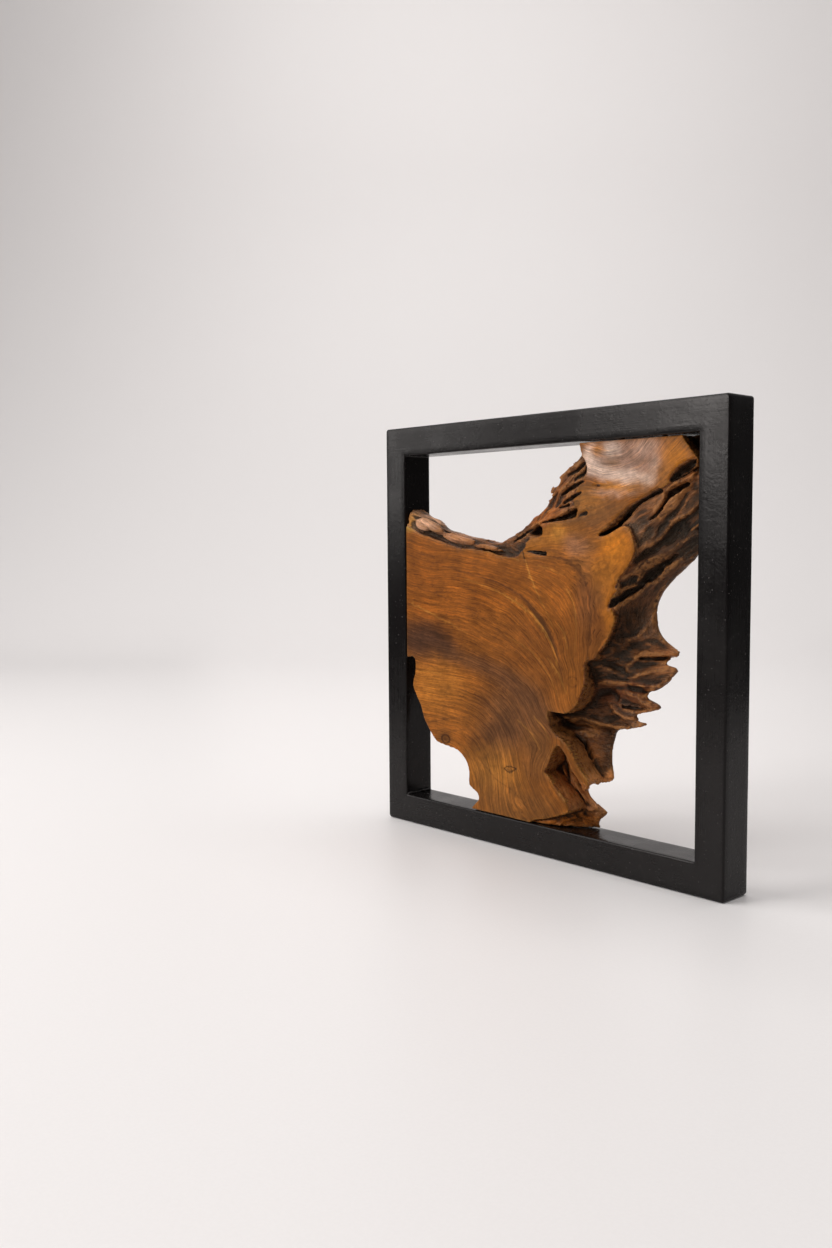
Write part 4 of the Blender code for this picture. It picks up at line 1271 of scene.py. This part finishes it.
def screw_material():
    n = Nodes("zinc_plated_steel")
    place = n.place()
    drawn = n.noise(place, (0.3, 0.3, 5.0))
    stain = n.noise(place, 3.0, detail=3.0)
    colour = n.mix(n.span(stain, 0.4, 0.7), (0.55, 0.54, 0.50), (0.42, 0.39, 0.33))
    return n.finish(colour, n.span(drawn, 0.3, 0.7, 0.25, 0.42), n.bump(drawn, 0.03, 0.4), metallic=1.0)


# ---- The painted frame ----
EDGE_ROUND = 1.7            # rounding of the bars' long edges
OUTER_CORNER = 2.6          # rounding of the frame's four corners, seen from the front
INNER_CORNER = 0.9
EDGE_STEPS = 4
LOOP_STEP = 7.0             # spacing of points along the bars
FACE_STEP = 4.5             # spacing of points across the bars
PAINT_WAVES = 0.10          # the hand-sanded bars aren't quite flat
BEAD_STEPS, BEAD_SIDES = 26, 10
BEAD_RADIUS = 2.3
BEAD_SHORT = 1.2            # the bead ends this far inside the frame's front and back
BEAD_SUNK = 0.8             # how far it runs into the bars


def bar_profile(width, half_depth):
    """Points round a bar's section, as (distance from the frame's outside, y, and their normal)."""
    corners = (
        (width - EDGE_ROUND, -half_depth + EDGE_ROUND, -math.pi / 2),
        (width - EDGE_ROUND, half_depth - EDGE_ROUND, 0.0),
        (EDGE_ROUND, half_depth - EDGE_ROUND, math.pi / 2),
        (EDGE_ROUND, -half_depth + EDGE_ROUND, math.pi),
    )
    points = []
    for number, (u, y, start) in enumerate(corners):
        for step in range(EDGE_STEPS + 1):
            angle = start + math.pi / 2 * step / EDGE_STEPS
            normal = (math.cos(angle), math.sin(angle))
            points.append((u + EDGE_ROUND * normal[0], y + EDGE_ROUND * normal[1], normal))
        next_u, next_y, next_start = corners[(number + 1) % 4]
        goal = (next_u + EDGE_ROUND * math.cos(next_start), next_y + EDGE_ROUND * math.sin(next_start))
        here = points[-1]
        count = max(1, round(math.dist(here[:2], goal) / FACE_STEP))
        for step in range(1, count):
            share = step / count
            points.append((
                here[0] + (goal[0] - here[0]) * share, here[1] + (goal[1] - here[1]) * share, here[2],
            ))
    return points


def square_loop(half, corner):
    """Points round a square with rounded corners, as (across, up, and their outward normal)."""
    count = round(2 * HALF_SIDE / LOOP_STEP)
    points = []
    for side in range(4):
        turn = side * math.pi / 2
        cos, sin = math.cos(turn), math.sin(turn)
        straight = [
            ((half - corner) * (2 * step / count - 1), -half, (0.0, -1.0)) for step in range(count)
        ]
        arc = [
            (half - corner + corner * math.sin(a), -half + corner - corner * math.cos(a),
             (math.sin(a), -math.cos(a)))
            for a in (math.pi / 2 * step / EDGE_STEPS for step in range(EDGE_STEPS))
        ]
        for across, up, (nx, nz) in straight + arc:
            points.append((across * cos - up * sin, across * sin + up * cos,
                           (nx * cos - nz * sin, nx * sin + nz * cos)))
    return points


def painted_ring():
    """The whole frame as one closed ring, before it is parted into its bars."""
    profile = bar_profile(BAR_WIDTH, HALF_DEPTH)
    places, normals = [], []
    for u, y, (toward_inside, toward_back) in profile:
        corner = OUTER_CORNER + (INNER_CORNER - OUTER_CORNER) * u / BAR_WIDTH
        for across, up, (nx, nz) in square_loop(HALF_SIDE - u, corner):
            places.append((across, y, up + HALF_SIDE))
            normals.append((-nx * toward_inside, toward_back, -nz * toward_inside))
    count = len(places) // len(profile)
    faces = []
    for row in range(len(profile)):
        following = (row + 1) % len(profile)
        for column in range(count):
            beside = (column + 1) % count
            faces.append((row * count + column, row * count + beside,
                          following * count + beside, following * count + column))
    places, normals = np.array(places), np.array(normals)
    x, y, z = (places / 34.0).T
    wave = gradient_noise(x, y, z, 41) - 1.0
    fine = gradient_noise(x * 3.2, y * 3.2, z * 3.2, 42) - 1.0
    places = places + normals * (PAINT_WAVES * (0.6 * wave + 0.25 * fine))[:, None]
    bm = bmesh.new()
    points = [bm.verts.new(p) for p in places]
    for face in faces:
        bm.faces.new([points[i] for i in face])
    bmesh.ops.recalc_face_normals(bm, faces=bm.faces)
    return bm


def part_ring(ring, cuts):
    """A copy of the ring, cut by planes; each cut is (point, normal), and the normal's side goes."""
    bm = ring.copy()
    for point, normal in cuts:
        geometry = bm.verts[:] + bm.edges[:] + bm.faces[:]
        result = bmesh.ops.bisect_plane(
            bm, geom=geometry, plane_co=point, plane_no=normal, clear_outer=True, dist=1e-5)
        rim = [e for e in result["geom_cut"] if isinstance(e, bmesh.types.BMEdge)]
        bmesh.ops.holes_fill(bm, edges=rim, sides=0)
    bmesh.ops.recalc_face_normals(bm, faces=bm.faces)
    return bm


def add_piece(name, mesh, material, node_names):
    """A visual piece that rides on the root body and stands for CAD nodes."""
    obj = add_object(name, mesh)
    mesh.materials.append(material)
    mesh.shade_smooth()
    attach(obj, "root")
    if node_names:
        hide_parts(*node_names)
    return obj


def painted_bars(material):
    ring = painted_ring()
    low, high = BAR_WIDTH + JOINT_GAP / 2, 2 * HALF_SIDE - BAR_WIDTH - JOINT_GAP / 2
    up, down, left, right = (0, 0, 1), (0, 0, -1), (-1, 0, 0), (1, 0, 0)
    upper, lower, middle = (0, 0, high), (0, 0, low), (0, 0, 0)
    bars = {
        "top_rail": [(upper, down)],
        "bottom_rail": [(lower, up)],
        "left_stile": [(upper, up), (lower, down), (middle, right)],
        "right_stile": [(upper, up), (lower, down), (middle, left)],
    }
    for node_name, cuts in bars.items():
        mesh = mesh_from(part_ring(ring, cuts), "painted_" + node_name)
        places = triples(mesh.vertices, "co")
        lengthwise = 0 if node_name.endswith("rail") else 2
        store(mesh, "run", places[:, [lengthwise, 1, 2 - lengthwise]])
        finish_millimetres(mesh)
        side = node_name.split("_")[0]
        plugs = [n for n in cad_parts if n.startswith("plug_" + side)]
        piece = add_piece("painted_" + node_name, mesh, material, [node_name, *plugs])
        piece.data.set_sharp_from_angle(angle=math.radians(40))
    ring.free()


def finish_millimetres(mesh):
    """Turn a mesh made in millimetres into metres."""
    mesh.transform(Matrix.Scale(MM, 4))
    mesh.update()


def glue_bead(material):
    """A lumpy bead of paint-covered glue in the bottom left inner corner, front to back."""
    corner_x = -HALF_SIDE + BAR_WIDTH
    corner_z = BAR_WIDTH
    bm = bmesh.new()
    rings = []
    for step in range(BEAD_STEPS + 1):
        share = step / BEAD_STEPS
        y = (2 * share - 1) * (HALF_DEPTH - BEAD_SHORT)
        radius = BEAD_RADIUS + 0.6 * math.sin(9.0 * share + 1.0) + 0.35 * math.sin(23.0 * share)
        radius *= min(1.0, 0.35 + 6.0 * share) * min(1.0, 0.35 + 6.0 * (1 - share))
        ring = []
        for side in range(BEAD_SIDES):
            angle = 2 * math.pi * side / BEAD_SIDES
            across = corner_x + radius * (0.35 + math.cos(angle))
            height = corner_z + radius * (0.25 + 0.8 * math.sin(angle))
            across = max(across, corner_x - BEAD_SUNK)
            ring.append(bm.verts.new((across, y, max(height, corner_z - BEAD_SUNK))))
        rings.append(ring)
    for ring, following in zip(rings, rings[1:]):
        for side in range(BEAD_SIDES):
            beside = (side + 1) % BEAD_SIDES
            bm.faces.new((ring[side], ring[beside], following[beside], following[side]))
    bm.faces.new(rings[0])
    bm.faces.new(rings[-1])
    bmesh.ops.recalc_face_normals(bm, faces=bm.faces)
    mesh = mesh_from(bm, "glue_bead")
    store(mesh, "run", triples(mesh.vertices, "co"))
    finish_millimetres(mesh)
    add_piece("glue_bead", mesh, material, [])


# ---- Camera, light and floor ----
CAMERA_PLACE = (0.69364, -0.80088, 0.29172)
CAMERA_TURN = 47.34         # degrees to the left of straight ahead
CAMERA_DROP = 4.35          # degrees below the horizon
CAMERA_ROLL = -0.0065       # radians
CAMERA_LENS = 33.32
HORIZON_LIGHT = 0.08        # the room is dim at eye level, which keeps the paint dark
ZENITH_LIGHT = 0.50
DOME_COLOUR = (1.0, 0.98, 0.975)


def add_camera():
    turn, drop = math.radians(CAMERA_TURN), math.radians(CAMERA_DROP)
    ahead = Vector((-math.sin(turn) * math.cos(drop), math.cos(turn) * math.cos(drop), -math.sin(drop)))
    right = Vector((math.cos(turn), math.sin(turn), 0))
    up = right.cross(ahead)
    cos, sin = math.cos(CAMERA_ROLL), math.sin(CAMERA_ROLL)
    rolled_right = right * cos + up * sin
    rolled_up = up * cos - right * sin
    data = bpy.data.cameras.new("camera")
    data.lens = CAMERA_LENS
    data.sensor_width = 36.0
    camera = add_object("camera", data)
    columns = Matrix((rolled_right, rolled_up, -ahead)).transposed()
    camera.matrix_world = Matrix.Translation(CAMERA_PLACE) @ columns.to_4x4()
    bpy.context.scene.camera = camera


def add_area_light(name, place, target, size, power):
    data = bpy.data.lights.new(name, "AREA")
    data.shape = "RECTANGLE"
    data.size, data.size_y = size
    data.energy = power
    data.color = LIGHT_COLOUR
    light = add_object(name, data)
    light.location = place
    light.rotation_euler = (Vector(target) - Vector(place)).to_track_quat("-Z", "Y").to_euler()


# Lights: place, the place each points at, its two sides in metres and its power in watts
LIGHTS = {
    "key": ((-1.2, -1.1, 2.0), (0.0, 0.0, 0.15), (1.3, 1.2), 18),
    "overhead": ((0.3, -0.2, 2.6), (0.3, -0.2, 0.0), (2.2, 2.2), 20),
    "front_window": ((-1.02, -2.20, 1.02), (0.0, 0.0, 0.35), (0.8, 1.1), 28),
    "side_window": ((-1.80, -1.40, 0.78), (0.0, 0.0, 0.35), (0.45, 0.9), 6),
    "backdrop_wash": ((-0.6, 0.9, 2.8), (-1.2, 2.7, 0.9), (3.0, 1.2), 36),
}
LIGHT_COLOUR = (1.0, 0.985, 0.97)

# The sweep of paper, seen from the side, in metres from the panel: its near and far ends, the
# radius of its bend, its top, and how far it lies under the panel
SWEEP_NEAR, SWEEP_FAR, SWEEP_BEND, SWEEP_TOP, SWEEP_UNDER = -5.0, 3.2, 1.6, 6.0, 0.0004

# Strips of the floor and backdrop: name, left and right edge, and whether gloss mirrors them.
# In the photo the paper ends a little to the left and right, so the paint mirrors a dark room there.
SWEEP_STRIPS = [
    ("backdrop_left", -14.0, -0.75, False),
    ("backdrop_middle", -0.75, 1.1, True),
    ("backdrop_right", 1.1, 14.0, False),
]


def add_sweep():
    """A pale floor that curves up into a backdrop behind the panel."""
    n = Nodes("pale_paper")
    fleck = n.noise(n.place(), 2.0)
    colour = n.mix(n.span(fleck, 0.3, 0.7), (0.775, 0.75, 0.745), (0.785, 0.76, 0.755))
    paper = n.finish(colour, 0.42, n.bump(fleck, 0.02, 0.1), specular=0.3)

    turn = math.radians(CAMERA_TURN)
    ahead = Vector((-math.sin(turn), math.cos(turn), 0))
    aside = Vector((math.cos(turn), math.sin(turn), 0))
    flat_end = SWEEP_FAR - SWEEP_BEND
    outline = [(SWEEP_NEAR, 0.0), (0.0, 0.0), (flat_end, 0.0)]
    for angle in (math.pi / 2 * step / 16 for step in range(1, 17)):
        outline.append((flat_end + SWEEP_BEND * math.sin(angle), SWEEP_BEND * (1 - math.cos(angle))))
    outline.append((SWEEP_FAR, SWEEP_TOP))
    for name, left, right, mirrored in SWEEP_STRIPS:
        bm = bmesh.new()
        rows = []
        for along, height in outline:
            middle = ahead * along + Vector((0, 0, height - SWEEP_UNDER))
            rows.append([bm.verts.new(middle + aside * side) for side in (left, right)])
        for row, following in zip(rows, rows[1:]):
            bm.faces.new((row[0], row[1], following[1], following[0]))
        mesh = mesh_from(bm, name)
        mesh.shade_smooth()
        mesh.materials.append(paper)
        strip = add_object(name, mesh)
        strip.visible_glossy = mirrored


def add_lights():
    for name, light in LIGHTS.items():
        add_area_light(name, *light)

def add_dome():
    """Even light from all round, stronger from above."""
    world = bpy.data.worlds.new("studio")
    world.use_nodes = True
    tree = world.node_tree
    direction = add_node(tree, "TexCoord").outputs["Generated"]
    height = add_node(tree, "SeparateXYZ", {0: direction}).outputs["Z"]
    rise = {"Value": height, "From Min": 0.0, "From Max": 0.75}
    rise.update({"To Min": HORIZON_LIGHT, "To Max": ZENITH_LIGHT})
    dome = add_node(tree, "MapRange", rise, interpolation_type="SMOOTHSTEP")
    fill_inputs(tree, tree.nodes["Background"], {"Strength": dome.outputs["Result"], "Color": DOME_COLOUR})
    bpy.context.scene.world = world
    bpy.context.scene.view_settings.view_transform = "Standard"


# ---- Putting it together ----
def make_root(sanded_wood, natural_wood):
    distance, grid, maps, relief_field = sculpt_root(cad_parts["teak_root"])
    mesh = mesh_from_polygons("carved_teak_root", *polygons_of(distance, grid))
    refine_near_lines(mesh)
    colour_root(mesh, grid, maps, relief_field, distance)
    finish_millimetres(mesh)
    add_piece("carved_teak_root", mesh, sanded_wood, ["teak_root"])
    mesh.materials.append(natural_wood)
    natural = triples(mesh.attributes["surface"].data, "vector")[:, 0] > 0.5
    for face in mesh.polygons:
        face.material_index = int(natural[face.vertices[0]])


def refinish_hidden_nodes():
    """Materials of the CAD pieces inside the wood."""
    finishes = {"dowel_": dowel_material(), "screw_": screw_material(), "plug_": filler_material()}
    for name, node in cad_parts.items():
        for start, material in finishes.items():
            if name.startswith(start):
                node.data.materials.clear()
                node.data.materials.append(material)


add_camera()
add_sweep()
add_lights()
add_dome()
paint = paint_material()
painted_bars(paint)
glue_bead(paint)
make_root(
    teak_material("varnished_teak", "sanded_grain", SANDED_STAIN, specular=0.14),
    teak_material("varnished_natural_teak", "natural_grain", NATURAL_STAIN, specular=0.27),
)
refinish_hidden_nodes()
